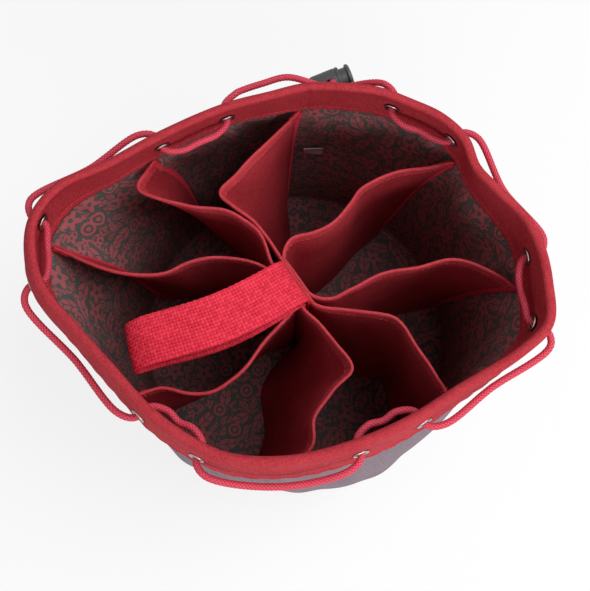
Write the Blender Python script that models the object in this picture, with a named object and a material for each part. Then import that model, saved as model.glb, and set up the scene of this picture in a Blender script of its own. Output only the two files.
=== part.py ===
"""A kinchaku drawstring pouch that stands open on its round base.

A cloth tube with a lining, a folded canvas band round its mouth, eight inner pockets made by four
folded canvas strips that are sewn together along a spine in the middle, a webbing pull loop held in
that spine, and a drawcord that is threaded through twelve eyelets and held by a sprung cord lock.

Sizes are in millimetres, and MM turns them into Blender's metres. +Z is up, the front is at -Y, and
the origin lies in the underside of the base, below the middle of the mouth.
"""

import math

import bmesh
import bpy
import numpy as np
from mathutils import Matrix, Vector

MM = 0.001
GAP = 0.3  # clear space between two pieces that touch

# Thickness of each cloth
CANVAS = 1.1
LINING = 0.7
WEBBING = 1.8

# The tube
HEIGHT = 180.0
BASE_MIDDLE = (0.0, 6.0)
BASE_RADIUS = 100.0
BASE_CORNER = 5.0  # radius of the rounded edge between wall and base
BELLY_RADIUS = 104.5
BELLY_HEIGHT = 95.0
ROUND_BELOW = 70.0  # up to here the tube is round
RIM_SHAPE_FROM = 175.0  # from here on it has the shape of the rim
WALL_BANDS = 5  # rows of faces between the rounded edge and the band

# The rim seen from above, from the back seam round by the left. It and the strips' arms are drawn
# for these radii of the belly and the base.
DRAWN_RADIUS = 104.5
DRAWN_BASE_RADIUS = 100.0
RIM_OUTLINE = [
    (7, 95), (-13, 90), (-34, 84), (-65, 69), (-91, 54), (-115, 42), (-126, 25), (-125, 4),
    (-118, -12), (-102, -30), (-85, -48), (-66, -68), (-46, -82), (-29, -89), (-2, -90),
    (27, -83), (53, -72), (76, -58), (106, -40), (119, -27), (120, -8), (118, 9), (112, 25),
    (99, 40), (89, 52), (84, 67), (73, 79), (58, 87), (43, 93), (25, 95),
]

# How far the cloth below the rim stands out past it: share of the way round, and millimetres
SHOULDER = [
    (0.0, 5.0), (0.08, 6.0), (0.16, 7.0), (0.22, 8.0), (0.27, 8.0), (0.33, 5.0), (0.40, 4.0),
    (0.50, 2.0), (0.60, 1.0), (0.70, 0.0), (0.76, 1.0), (0.80, 3.0), (0.85, 5.0), (0.90, 6.0),
    (1.0, 5.0),
]
SHOULDER_FROM = 30.0  # height where the wall starts to lean out to it
SHOULDER_DROP = 30.0  # from the top edge down to where it is widest

# The band that is folded over the top edge
BAND_DEPTH = 35.0

# Eyelets, in pairs round the band
EYELET_PAIRS = 6
EYELET_PAIR_SPACING = 35.0
EYELET_DROP = 17.5  # from the top edge down to the middle of the hole
# How far each eyelet has moved round to the left, as the cloth lies, from the back by the left
EYELET_SHIFTS = [5.0, 5.0, 1.0, -2.0, 3.0, 0.0, 0.0, -3.0, -3.0, -3.0, -5.0, -5.0]
EYELET_HOLE_RADIUS = 2.7
EYELET_WALL = 0.5
EYELET_FLANGE_RADIUS = 4.0
EYELET_FLANGE = 0.6
EYELET_MARGIN = 1.0  # flat cloth round the flange
EYELET_SIDES = 10

# The spine where the four divider strips and the webbing are sewn together
SPINE_TOP = (-1.0, 1.5)
SPINE_FLOOR = (-1.5, 10.0)
SPINE_DIRECTION = (-0.571, 0.821)  # from its front end to its back end, seen from above
SPINE_HALF = 14.0
SPINE_SHORT = 8.0  # where an outer strip that turns away early leaves it
DIVIDER_BELOW_BAND = 1.5

# Each arm of a strip from the wall to the spine, seen from above at its top edge and at the floor
ARM_BACK_LEFT = {
    "top": [(-76, 73), (-84, 57), (-72, 50), (-57, 47), (-37, 43), (-27, 37), (-20, 30)],
    "floor": [(-62, 84), (-45, 70), (-39, 62), (-22, 40)],
}
ARM_BACK = {
    "top": [(3, 99), (-15, 81), (-30, 64), (-39, 52), (-32, 46), (-22, 38), (-15, 29)],
    "floor": [(-7, 100), (-4, 76), (-5, 48)],
}
ARM_BACK_RIGHT = {
    "top": [(83, 68), (53, 64), (35, 55), (29, 46), (20, 36), (9, 29), (-2, 25)],
    "floor": [(60, 82), (45, 68), (24, 44), (4, 28)],
}
ARM_RIGHT = {
    "top": [(107, -1), (98, 8), (79, 14), (60, 10), (43, 6), (30, -1), (19, -6)],
    "floor": [(99, 28), (60, 18), (28, 6)],
}
ARM_FRONT_RIGHT = {
    "top": [(75, -56), (72, -47), (62, -30), (51, -17), (43, -14), (24, -12)],
    "floor": [(80, -62), (68, -50), (62, -30), (40, -22), (20, -8)],
}
ARM_FRONT = {
    "top": [(-5, -88), (8, -77), (10, -65), (19, -54), (29, -42), (21, -30), (12, -19)],
    "floor": [(-30, -96), (-21, -66), (-22, -32), (-6, -8)],
}
ARM_FRONT_LEFT = {
    "top": [(-74, -50), (-62, -47), (-49, -50), (-38, -50), (-29, -45), (-21, -38), (-7, -20)],
    "floor": [(-87, -50), (-50, -30), (-22, -8)],
}
ARM_LEFT = {
    "top": [(-120, 21), (-97, 12), (-74, 6), (-64, 7), (-54, 12), (-40, 15), (-23, 14)],
    "floor": [(-100, 35), (-65, 34), (-38, 30), (-20, 20)],
}
ARM_STEPS = 10  # faces along an arm
DIVIDER_ROWS = 5  # faces up a divider

# The pull loop: its run from the spine, as distance from the spine and height over the dividers
STRAP_WIDTH = 25.0
STRAP_TUCK = 30.0  # how deep each end is sewn into the spine
STRAP_END_DIRECTION = (0.25, -0.97)  # across the webbing at the loop's far end
STRAP_UPPER = [(4, 8.0), (12, 10.5), (28, 12.5), (48, 12.0), (68, 10.0), (82, 8.0)]
STRAP_TIP = [(89, 4.0), (90, 0.5), (87, -3.0)]
STRAP_LOWER = [(78, -4.5), (60, -4.5), (44, -3.0), (32, 0.0), (20, 2.2), (9, 2.6)]
STRAP_SWING = 0.42  # how far the loop's run turns from square to the spine, in radians
STRAP_STEP = 8.0  # length of its faces where it is nearly straight

# The drawcord
CORD_RADIUS = 1.7
CORD_STEP = 20.0
CORD_LEAN = 0.7  # how far it crosses an eyelet sideways
CORD_TURN = 8.0  # beside an eyelet, where it runs along the wall again
CORD_STANDOFF = 8.4  # from the middle of the wall's cloth
# Middle of each span from eyelet to eyelet, from the back round by the left: stand-off and sag
CORD_SPANS = [
    (9.0, 1.5), (6.0, 2.5), (8.0, 2.0), (7.0, 3.0), (7.5, 2.5), (8.5, 3.0),
    (7.5, 2.0), (6.0, 3.5), (7.5, 2.0), (7.5, 3.0), (8.0, 2.0),
]
# From the lock to the first eyelet: along the wall from the back seam, sag, stand-off
CORD_FROM_LOCK = [(8.0, 0.5, 12.5), (21.0, 0.0, 12.0), (32.0, 0.0, 10.5)]
TAIL_LENGTH = 92.0
TAIL_SPREAD = 6.0
KNOT_RADIUS = 4.2

# The cord lock
LOCK_STATION = -11.0  # along the wall from the back seam, to the right
LOCK_DROP = 36.5
LOCK_STANDOFF = 14.0
LOCK_YAW, LOCK_PITCH, LOCK_ROLL = math.radians(20), math.radians(8), math.radians(40)
LOCK_RADIUS = 7.2
LOCK_LENGTH = 17.0
LOCK_WALL = 1.3
LOCK_END_WALL = 1.5
LOCK_TRAVEL = 3.5
LOCK_SPRING_ROOM = 6.3
PLUNGER_END_WALL = 1.5
PLUNGER_HEAD_RADIUS = 6.8
PLUNGER_HEAD = 2.2
SPRING_WIRE = 0.35  # radius
SPRING_TURNS = 3.5
LOCK_SIDES = 20

# The blank care label in the back seam
LABEL_WIDTH = 12.0
LABEL_LENGTH = 16.0
LABEL_THICKNESS = 0.5
LABEL_TOP_DROP = 94.0
LABEL_STATION = -4.0  # along the wall from the back seam, to the right
LABEL_SPLAY = 1.5  # how far its free end stands off the lining

# Each layer's faces, measured outwards from the middle of the wall's cloth
BODY_IN = GAP / 2
BODY_OUT = BODY_IN + CANVAS
LINING_OUT = -GAP / 2
LINING_IN = LINING_OUT - LINING
BAND_OUTSIDE_IN = BODY_OUT + GAP
BAND_OUTSIDE_OUT = BAND_OUTSIDE_IN + CANVAS
BAND_INSIDE_OUT = LINING_IN - GAP
BAND_INSIDE_IN = BAND_INSIDE_OUT - CANVAS

CLOTH_FLOOR = BODY_OUT  # height of the middle of the cloth over the floor
BAND_BOTTOM = HEIGHT - BAND_DEPTH
EYELET_HEIGHT = HEIGHT - EYELET_DROP
EYELET_FLAT = EYELET_FLANGE_RADIUS + EYELET_MARGIN
WALL_TOP = EYELET_HEIGHT - EYELET_FLAT  # the tube's own top edge, inside the band
SHOULDER_HEIGHT = HEIGHT - SHOULDER_DROP
WALL_LENGTH = 2 * math.pi * BELLY_RADIUS
FLOOR_TOP = CLOTH_FLOOR - LINING_IN
DIVIDER_TOP = BAND_BOTTOM - DIVIDER_BELOW_BAND
PLAN_SCALE = BELLY_RADIUS / DRAWN_RADIUS
FLOOR_SCALE = BASE_RADIUS / DRAWN_BASE_RADIUS
SEAM_ANGLE = math.atan2(RIM_OUTLINE[0][1], RIM_OUTLINE[0][0])


def ease(share):
    """0 to 1 with a soft start and end."""
    share = min(1.0, max(0.0, share))
    return share * share * (3 - 2 * share)


def unit(vector):
    return np.array(vector, float) / np.linalg.norm(vector)


def curve_piece(a, b, c, d, count):
    """count points from b towards c, on the smooth curve through a, b, c and d."""
    t0 = 0.0
    t1 = t0 + np.linalg.norm(b - a) ** 0.5
    t2 = t1 + np.linalg.norm(c - b) ** 0.5
    t3 = t2 + np.linalg.norm(d - c) ** 0.5
    t = np.linspace(t1, t2, count, endpoint=False)[:, None]
    ab = ((t1 - t) * a + (t - t0) * b) / (t1 - t0)
    bc = ((t2 - t) * b + (t - t1) * c) / (t2 - t1)
    cd = ((t3 - t) * c + (t - t2) * d) / (t3 - t2)
    abc = ((t2 - t) * ab + (t - t0) * bc) / (t2 - t0)
    bcd = ((t3 - t) * bc + (t - t1) * cd) / (t3 - t1)
    return ((t2 - t) * abc + (t - t1) * bcd) / (t2 - t1)


def smooth_pieces(points, counts):
    """The smooth curve through the points, one array of points for each stretch between two."""
    p = np.array(points, float)
    p = np.vstack([2 * p[0] - p[1], p, 2 * p[-1] - p[-2]])
    return [curve_piece(*p[i : i + 4], n) for i, n in enumerate(counts)]


def evenly(line, count):
    """count points at even steps along a line of points, both ends included."""
    line = np.array(line, float)
    steps = np.linalg.norm(np.diff(line, axis=0), axis=1)
    along = np.concatenate([[0], np.cumsum(steps)])
    at = np.linspace(0, along[-1], count)
    return np.stack([np.interp(at, along, column) for column in line.T], axis=1)


def rim_line():
    """The rim's outline as a fine closed line, scaled so that it is as long as the tube is round."""
    p = np.array(RIM_OUTLINE, float)
    n = len(p)
    pieces = [curve_piece(p[i - 1], p[i], p[(i + 1) % n], p[(i + 2) % n], 24) for i in range(n)]
    line = evenly(np.vstack([*pieces, p[:1]]), 721)
    length = np.linalg.norm(np.diff(line, axis=0), axis=1).sum()
    return line * WALL_LENGTH / length


RIM = rim_line()


def rim_point(u):
    at = (u % 1.0) * (len(RIM) - 1)
    return np.array([np.interp(at, range(len(RIM)), RIM[:, k]) for k in (0, 1)])


def floor_lean(z):
    """How far the wall's face has turned down to the floor at height z, as a sine."""
    return min(1.0, max(0.0, 1 - (z - CLOTH_FLOOR) / BASE_CORNER))


def shoulder(u, z):
    """How far the wall stands out below the rim, u of the way round at height z."""
    places, reaches = zip(*SHOULDER)
    leans = ease((z - SHOULDER_FROM) / (SHOULDER_HEIGHT - SHOULDER_FROM))
    curls = 1 - max(0.0, (z - SHOULDER_HEIGHT) / SHOULDER_DROP) ** 2
    return np.interp(u % 1.0, places, reaches) * leans * curls


def wall_point(u, z):
    """The middle of the wall's cloth, u of the way round from the back seam, at height z."""
    angle = SEAM_ANGLE + 2 * math.pi * u
    corner = BASE_CORNER * (1 - math.sqrt(1 - floor_lean(z) ** 2))
    radius = BASE_RADIUS + (BELLY_RADIUS - BASE_RADIUS) * ease(z / BELLY_HEIGHT) - corner
    share = ease((z - ROUND_BELOW) / (RIM_SHAPE_FROM - ROUND_BELOW))
    middle = np.array(BASE_MIDDLE)
    circle = middle + radius * np.array([math.cos(angle), math.sin(angle)])
    plain = (1 - share) * circle + share * rim_point(u)
    x, y = plain + unit(plain - middle) * shoulder(u, z)
    return np.array([x, y, z])


def wall_normal(u, z):
    """The level direction that points out of the wall."""
    step = 1 / len(RIM)
    along = wall_point(u + step, z) - wall_point(u - step, z)
    return unit((along[1], -along[0], 0))


def layer_point(u, z, offset):
    """A point that lies offset outwards from the middle of the wall's cloth."""
    lean = floor_lean(z)
    face = wall_normal(u, z) * math.sqrt(1 - lean * lean) - np.array([0, 0, lean])
    return wall_point(u, z) + face * offset


def eyelet_stations():
    """How far round each eyelet is, as a share of the wall's length from the back seam."""
    half = EYELET_PAIR_SPACING / 2
    middles = [(k + 0.5) * WALL_LENGTH / EYELET_PAIRS for k in range(EYELET_PAIRS)]
    even = [m + side * half for m in middles for side in (-1, 1)]
    shifts = [EYELET_SHIFTS[k % len(EYELET_SHIFTS)] for k in range(len(even))]
    return [(place + shift) / WALL_LENGTH for place, shift in zip(even, shifts)]


def wall_columns():
    """Where the cloth's columns of faces start: one face for each eyelet, and pairs between them."""
    flat = EYELET_FLAT / WALL_LENGTH
    stations = eyelet_stations()
    columns = []
    for here, after in zip(stations, [*stations[1:], stations[0] + 1]):
        start, end = here + flat, after - flat
        parts = 2 * max(1, round((end - start) / (4 * flat)))
        columns.append(here - flat)
        columns += [start + (end - start) * k / parts for k in range(parts)]
    return columns


def wall_rows():
    """Heights of the rows of the tube's faces, from the floor to its top edge inside the band."""
    corner = [CLOTH_FLOOR + BASE_CORNER * share for share in (0, 1 - math.sqrt(0.5), 1)]
    climb = BAND_BOTTOM - corner[-1]
    return [*corner, *(corner[-1] + climb * (k + 1) / WALL_BANDS for k in range(WALL_BANDS)), WALL_TOP]


def material(name, colour, roughness, metallic=0.0):
    made = bpy.data.materials.new(name)
    made.use_nodes = True
    shader = made.node_tree.nodes["Principled BSDF"]
    shader.inputs["Base Color"].default_value = (*colour, 1)
    shader.inputs["Roughness"].default_value = roughness
    shader.inputs["Metallic"].default_value = metallic
    made.diffuse_color = (*colour, 1)
    return made


def add_object(name, data, finish):
    """Links an object for this mesh or curve, with its material."""
    piece = bpy.data.objects.new(name, data)
    bpy.context.scene.collection.objects.link(piece)
    data.materials.append(finish)
    return piece


def add_mesh(name, bm, finish, smooth=True):
    """Turns a bmesh in millimetres into an object in metres, its faces pointing out."""
    bmesh.ops.recalc_face_normals(bm, faces=bm.faces)
    bmesh.ops.triangulate(bm, faces=bm.faces)
    bmesh.ops.scale(bm, vec=(MM, MM, MM), verts=bm.verts)
    mesh = bpy.data.meshes.new(name)
    bm.to_mesh(mesh)
    bm.free()
    if smooth:
        mesh.shade_smooth()
        mesh.set_sharp_from_angle(angle=math.radians(40))
    return add_object(name, mesh, finish)


def skin(bm, sections, joined):
    """Quads between each closed section and the next; joined also links the last to the first."""
    rings = [[bm.verts.new(p) for p in section] for section in sections]
    pairs = list(zip(rings, rings[1:])) + ([(rings[-1], rings[0])] if joined else [])
    for a, b in pairs:
        for i in range(len(a)):
            bm.faces.new((a[i - 1], a[i], b[i], b[i - 1]))
    if not joined:
        bm.faces.new(rings[0])
        bm.faces.new(rings[-1])


def wall_section(u, inner, outer):
    """The outline of a wall layer, cut upright u of the way round."""
    rows = wall_rows()
    up = [layer_point(u, z, outer) for z in rows]
    down = [layer_point(u, z, inner) for z in reversed(rows)]
    return up + down


def lining_wall(finish):
    """The lining's tube, from the base's edge up into the band."""
    bm = bmesh.new()
    skin(bm, [wall_section(u, LINING_IN, LINING_OUT) for u in wall_columns()], joined=True)
    return add_mesh("lining_wall", bm, finish)


def body_panels(finish):
    """The outer canvas tube, sewn from one panel for each pair of eyelets."""
    half_seam = GAP / 2 / WALL_LENGTH
    inside = [u + turn for u in wall_columns() for turn in (-1, 0)]
    stations = eyelet_stations()
    first = (stations[-1] - 1 + stations[0]) / 2
    seams = [first, *((a + b) / 2 for a, b in zip(stations[1:-1:2], stations[2::2])), first + 1]
    for number, (start, end) in enumerate(zip(seams, seams[1:])):
        between = sorted(u for u in inside if start + 2 * half_seam < u < end - 2 * half_seam)
        columns = [start + half_seam, *between, end - half_seam]
        bm = bmesh.new()
        skin(bm, [wall_section(u, BODY_IN, BODY_OUT) for u in columns], joined=False)
        add_mesh(f"outer_body_panel_{number + 1}", bm, finish)


def base_disc(name, bottom, top, finish):
    """A flat disc that meets the lower edge of the wall all round."""
    inset = 1 - (GAP / (BASE_RADIUS - BASE_CORNER))
    middle = np.array(BASE_MIDDLE)
    edge = [wall_point(u, CLOTH_FLOOR)[:2] for u in wall_columns()]
    outline = [middle + (p - middle) * inset for p in edge]
    bm = bmesh.new()
    face = bm.faces.new([bm.verts.new((x, y, bottom)) for x, y in outline])
    grown = bmesh.ops.extrude_face_region(bm, geom=[face])
    risen = [v for v in grown["geom"] if isinstance(v, bmesh.types.BMVert)]
    bmesh.ops.translate(bm, verts=risen, vec=(0, 0, top - bottom))
    return add_mesh(name, bm, finish)


def rim_band(finish):
    """The folded band: an upside-down U over the tube's top edge, pierced for the eyelets."""
    middle = (BAND_OUTSIDE_OUT + BAND_INSIDE_IN) / 2
    outer_fold = (BAND_OUTSIDE_OUT - BAND_INSIDE_IN) / 2
    inner_fold = outer_fold - CANVAS
    fold_height = HEIGHT - outer_fold
    legs = [BAND_BOTTOM, WALL_TOP, EYELET_HEIGHT + EYELET_FLAT, fold_height]
    bm = bmesh.new()
    sections = []
    for u in wall_columns():
        section = [layer_point(u, z, BAND_OUTSIDE_OUT) for z in legs]
        for turn in (45, 90, 135):
            across, up = math.cos(math.radians(turn)), math.sin(math.radians(turn))
            rise = np.array([0, 0, outer_fold * up])
            section.append(layer_point(u, fold_height, middle + outer_fold * across) + rise)
        section += [layer_point(u, z, BAND_INSIDE_IN) for z in reversed(legs)]
        section += [layer_point(u, z, BAND_INSIDE_OUT) for z in legs]
        section.append(layer_point(u, fold_height, middle) + np.array([0, 0, inner_fold]))
        section += [layer_point(u, z, BAND_OUTSIDE_IN) for z in reversed(legs)]
        sections.append(section)
    skin(bm, sections, joined=True)
    band = add_mesh("rim_band", bm, finish)
    pierce(band, eyelet_punches(finish))
    return band


def pierce(piece, cutter):
    """Cuts the cutter out of the piece, and keeps the cutter as a hidden guide."""
    cut = piece.modifiers.new(cutter.name, "BOOLEAN")
    cut.operation = "DIFFERENCE"
    cut.solver = "EXACT"
    cut.object = cutter
    cutter.hide_render = True
    cutter.display_type = "WIRE"


def eyelet_frames():
    """Each eyelet's middle, and the directions out of the wall and along it towards the left."""
    frames = []
    for u in eyelet_stations():
        flat = EYELET_FLAT / WALL_LENGTH
        left, right = wall_point(u + flat, EYELET_HEIGHT), wall_point(u - flat, EYELET_HEIGHT)
        along = unit(left - right)
        low = (wall_point(u + flat, WALL_TOP) + wall_point(u - flat, WALL_TOP)) / 2
        top = EYELET_HEIGHT + EYELET_FLAT
        high = (wall_point(u + flat, top) + wall_point(u - flat, top)) / 2
        out = unit(np.cross(along, high - low))
        frames.append(((low + high) / 2, out, along))
    return frames


def turned(bm, profile, frame, sides):
    """Spins a closed profile of (radius, height) round the frame's axis."""
    centre, out, along = frame
    start = bm.verts[:]
    loop = [bm.verts.new(centre + along * r + out * h) for r, h in profile]
    edges = [bm.edges.new((loop[i - 1], loop[i])) for i in range(len(loop))]
    bmesh.ops.spin(bm, geom=[*loop, *edges], cent=centre, axis=out, angle=2 * math.pi,
                   steps=sides, use_merge=True, use_duplicate=False)
    return [v for v in bm.verts if v not in start]


def eyelet_punches(finish):
    """One cutter with a plug through both layers of the band for every eyelet."""
    radius = EYELET_HOLE_RADIUS + EYELET_WALL + GAP
    reach = BAND_OUTSIDE_OUT + 2 * EYELET_FLANGE
    bm = bmesh.new()
    for centre, out, along in eyelet_frames():
        turn = Vector(out).to_track_quat("Z", "Y").to_matrix().to_4x4()
        place = Matrix.Translation(Vector(centre)) @ turn
        bmesh.ops.create_cone(bm, cap_ends=True, segments=EYELET_SIDES, radius1=radius,
                              radius2=radius, depth=2 * reach, matrix=place)
    return add_mesh("eyelet_punches", bm, finish)


def eyelets(finish):
    """Twelve two-part eyelets, each pressed round its hole from both sides of the band."""
    hole, barrel = EYELET_HOLE_RADIUS, EYELET_HOLE_RADIUS + EYELET_WALL
    flange = EYELET_FLANGE_RADIUS
    front_under = BAND_OUTSIDE_OUT + GAP
    back_under = BAND_INSIDE_IN - GAP
    front, back = front_under + EYELET_FLANGE, back_under - EYELET_FLANGE
    profile = [
        (hole, back), (hole, front), (flange, front), (flange, front_under),
        (barrel, front_under), (barrel, back_under), (flange, back_under), (flange, back),
    ]
    for number, frame in enumerate(eyelet_frames(), 1):
        bm = bmesh.new()
        turned(bm, profile, frame, EYELET_SIDES)
        add_mesh(f"eyelet_{number:02d}", bm, finish)


def nearest_round(point, z):
    """The share round the wall that is nearest a point seen from above."""
    shares = np.linspace(0, 1, 721)
    away = [np.linalg.norm(wall_point(u, z)[:2] - np.array(point)) for u in shares]
    return shares[int(np.argmin(away))]


def spine_point(height_share, along, across):
    """A point of the spine: height_share 1 at the dividers' top edge and 0 at the floor."""
    x, y = (1 - height_share) * np.array(SPINE_FLOOR) + height_share * np.array(SPINE_TOP)
    back = unit(SPINE_DIRECTION)
    right = np.array([back[1], -back[0]])
    return np.array([x, y]) + back * along + right * across


def strip_line(arms, ends, across, level):
    """A strip seen from above, wall to spine to wall: level is top or floor."""
    scale = PLAN_SCALE if level == "top" else FLOOR_SCALE
    share = 1.0 if level == "top" else 0.0
    first = [np.array(p, float) * scale for p in arms[0][level]]
    second = [np.array(p, float) * scale for p in reversed(arms[1][level])]
    spine = [spine_point(share, ends[0], across), spine_point(share, ends[1], across)]
    counts = [16] * (len(first) + len(second) + 1)
    pieces = smooth_pieces([*first, *spine, *second], counts)
    split = len(first)
    arm_one = np.vstack([*pieces[:split], spine[0][None]])
    arm_two = np.vstack([*pieces[split + 1 :], second[-1][None]])
    one, two = evenly(arm_one, ARM_STEPS + 1), evenly(arm_two, ARM_STEPS + 1)
    middle = evenly([spine[0], spine[1]], 4)
    return np.vstack([one, middle[1:-1], two])


def divider_strip(name, arms, ends, across, finish):
    """A canvas strip that stands on the lining's floor, sewn to the wall at both of its ends."""
    top, floor = (strip_line(arms, ends, across, level) for level in ("top", "floor"))
    rows = [FLOOR_TOP + GAP, CLOTH_FLOOR + BASE_CORNER + GAP]
    rows += [rows[-1] + (DIVIDER_TOP - rows[-1]) * (k + 1) / (DIVIDER_ROWS - 1)
             for k in range(DIVIDER_ROWS - 1)]
    grid = np.zeros((len(top), len(rows), 3))
    for k, z in enumerate(rows):
        share = (z - rows[0]) / (rows[-1] - rows[0])
        grid[:, k, :2] = (1 - share) * floor + share * top
        grid[:, k, 2] = z
        for arm, end, inward in ((arms[0], 0, 1), (arms[1], -1, -1)):
            low = nearest_round(arm["floor"][0], rows[1])
            high = nearest_round(arm["top"][0], DIVIDER_TOP)
            low -= round(low - high)
            u = (1 - share) * low + share * high
            clear = BASE_CORNER + 3 * GAP if k == 0 else GAP + CANVAS - LINING_IN
            anchor = wall_point(u, max(z, rows[1])) - wall_normal(u, rows[-1]) * clear
            shift = anchor[:2] - grid[end, k, :2]
            for i in range(ARM_STEPS):
                grid[end + inward * i, k, :2] += shift * (1 - i / ARM_STEPS) ** 2
    add_sheet(name, grid, CANVAS, finish)


def add_sheet(name, grid, thickness, finish):
    """A closed sheet with its middle on a grid of points, and even thickness."""
    along, up = np.gradient(grid, axis=0), np.gradient(grid, axis=1)
    normal = np.cross(along, up)
    normal /= np.linalg.norm(normal, axis=2, keepdims=True)
    front, back = grid + normal * thickness / 2, grid - normal * thickness / 2
    bm = bmesh.new()
    skin(bm, [[*front[i], *back[i][::-1]] for i in range(len(grid))], joined=False)
    return add_mesh(name, bm, finish)


def strap_frame(distance, height):
    """Where the loop's middle is at a distance from the spine, and the direction across it."""
    back = unit(SPINE_DIRECTION)
    square = np.array([-back[1], back[0]])
    far = max(STRAP_TIP)[0]
    share = ease(distance / far)
    turn = -STRAP_SWING * share
    run = np.array([
        square[0] * math.cos(turn) - square[1] * math.sin(turn),
        square[0] * math.sin(turn) + square[1] * math.cos(turn),
    ])
    sewn = 1 + min(0.0, height) / (DIVIDER_TOP - FLOOR_TOP - GAP)
    place = spine_point(sewn, 0, 0) + (0.5 * (square + run)) * distance
    across = unit((1 - share) * -back + share * np.array(STRAP_END_DIRECTION))
    return place, across


def pull_strap(finish):
    """The webbing loop: up out of the spine, out over a pocket, and back under itself."""
    side = GAP / 2 + WEBBING / 2
    route = [(-side, -STRAP_TUCK), (-side, -STRAP_TUCK / 2), (-side, -2), (-side + 0.6, 4.5)]
    route += [*STRAP_UPPER, *STRAP_TIP, *STRAP_LOWER]
    route += [(side + 0.4, 1.6), (side, -2), (side, -STRAP_TUCK / 2), (side, -STRAP_TUCK)]
    steps = np.linalg.norm(np.diff(route, axis=0), axis=1)
    counts = [max(2, round(step / STRAP_STEP)) for step in steps]
    line = np.vstack([*smooth_pieces(route, counts), np.array(route[-1:])])
    slope = np.gradient(line, axis=0)
    slope /= np.linalg.norm(slope, axis=1, keepdims=True)
    bm = bmesh.new()
    sections = []
    for (distance, height), (run, rise) in zip(line, slope):
        (x, y), across = strap_frame(distance, height)
        here = np.array([x, y, DIVIDER_TOP + height])
        wide = np.array([*across, 0]) * STRAP_WIDTH / 2
        away = np.array([across[1], -across[0], 0])
        thick = (np.array([0, 0, run]) - away * rise) * WEBBING / 2
        sections.append([here - wide - thick, here + wide - thick, here + wide + thick,
                         here - wide + thick])
    skin(bm, sections, joined=False)
    add_mesh("pull_strap", bm, finish)


def lock_frame():
    """The lock's place where the cords cross it, and its directions: along, across and cords' way."""
    u = LOCK_STATION / WALL_LENGTH
    place = layer_point(u, HEIGHT - LOCK_DROP, LOCK_STANDOFF)
    turn = (Matrix.Rotation(LOCK_YAW, 3, "Z") @ Matrix.Rotation(-LOCK_PITCH, 3, "Y")
            @ Matrix.Rotation(LOCK_ROLL, 3, "X"))
    along, across, upward = (np.array(turn.col[k]) for k in range(3))
    return place, along, across, upward


# Places along the lock, measured from where the cords cross it
CORD_ROOM = CORD_RADIUS + GAP
PLUNGER_INNER_END = -CORD_ROOM - PLUNGER_END_WALL
LOCK_CLOSED_END = PLUNGER_INNER_END - LOCK_SPRING_ROOM - LOCK_END_WALL
LOCK_OPEN_END = LOCK_CLOSED_END + LOCK_LENGTH
HEAD_FROM = LOCK_OPEN_END + LOCK_TRAVEL + GAP
CORD_SIDE = CORD_RADIUS + GAP / 2  # each cord's offset from the lock's middle
SLOT_HALF = CORD_SIDE + CORD_ROOM
BORE_RADIUS = LOCK_RADIUS - LOCK_WALL


def lock_turned(name, profile, finish, rig):
    """A piece turned about the lock's axis from a profile of (radius, place along the axis)."""
    bm = bmesh.new()
    axis_frame = (np.zeros(3), np.array([1.0, 0, 0]), np.array([0, 1.0, 0]))
    turned(bm, profile, axis_frame, LOCK_SIDES)
    bmesh.ops.remove_doubles(bm, verts=bm.verts, dist=0.001)
    piece = add_mesh(name, bm, finish)
    piece.parent = rig
    return piece


def lock_box(name, start, end, finish, rig):
    """A cutter for the slot that both cords pass through."""
    bm = bmesh.new()
    size = (end - start, 2 * SLOT_HALF, 4 * LOCK_RADIUS)
    place = Matrix.Translation(((start + end) / 2, 0, 0)) @ Matrix.Diagonal((*size, 1))
    bmesh.ops.create_cube(bm, size=1, matrix=place)
    cutter = add_mesh(name, bm, finish, smooth=False)
    cutter.parent = rig
    return cutter


def cord_lock(plastic, steel):
    """The lock: a barrel with a blind bore, a sprung plunger in it, and a slot through both."""
    place, along, across, upward = lock_frame()
    rig = bpy.data.objects.new("cord_lock_rig", None)
    bpy.context.scene.collection.objects.link(rig)
    turn = Matrix([along, across, upward]).transposed().to_4x4()
    rig.matrix_world = Matrix.Translation(Vector(place) * MM) @ turn
    floor_of_bore = LOCK_CLOSED_END + LOCK_END_WALL
    barrel = lock_turned("cord_lock_body", [
        (0, LOCK_CLOSED_END), (LOCK_RADIUS - 1, LOCK_CLOSED_END), (LOCK_RADIUS, LOCK_CLOSED_END + 1),
        (LOCK_RADIUS, LOCK_OPEN_END), (BORE_RADIUS, LOCK_OPEN_END), (BORE_RADIUS, floor_of_bore),
        (0, floor_of_bore),
    ], plastic, rig)
    pierce(barrel, lock_box("barrel_slot", -CORD_ROOM - LOCK_TRAVEL / 2, CORD_ROOM, plastic, rig))
    stem = BORE_RADIUS - GAP
    head_end = HEAD_FROM + PLUNGER_HEAD
    plunger = lock_turned("cord_lock_plunger", [
        (0, PLUNGER_INNER_END), (stem, PLUNGER_INNER_END), (stem, HEAD_FROM),
        (PLUNGER_HEAD_RADIUS, HEAD_FROM), (PLUNGER_HEAD_RADIUS, head_end - 0.8),
        (PLUNGER_HEAD_RADIUS - 1.2, head_end), (0, head_end),
    ], plastic, rig)
    pierce(plunger, lock_box("plunger_slot", -CORD_ROOM, CORD_ROOM + LOCK_TRAVEL, plastic, rig))
    lock_spring(floor_of_bore, steel, rig)


def lock_spring(start, finish, rig):
    """The coil spring between the bore's floor and the plunger."""
    radius = BORE_RADIUS - 3 * SPRING_WIRE - GAP
    first = start + GAP + SPRING_WIRE
    last = PLUNGER_INNER_END - GAP - SPRING_WIRE
    count = int(SPRING_TURNS * 10)
    points = []
    for k in range(count + 1):
        angle = 2 * math.pi * SPRING_TURNS * k / count
        rise = first + (last - first) * k / count
        points.append((rise, radius * math.cos(angle), radius * math.sin(angle)))
    spring = add_tube("cord_lock_spring", points, SPRING_WIRE, 1, finish)
    spring.parent = rig


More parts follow.
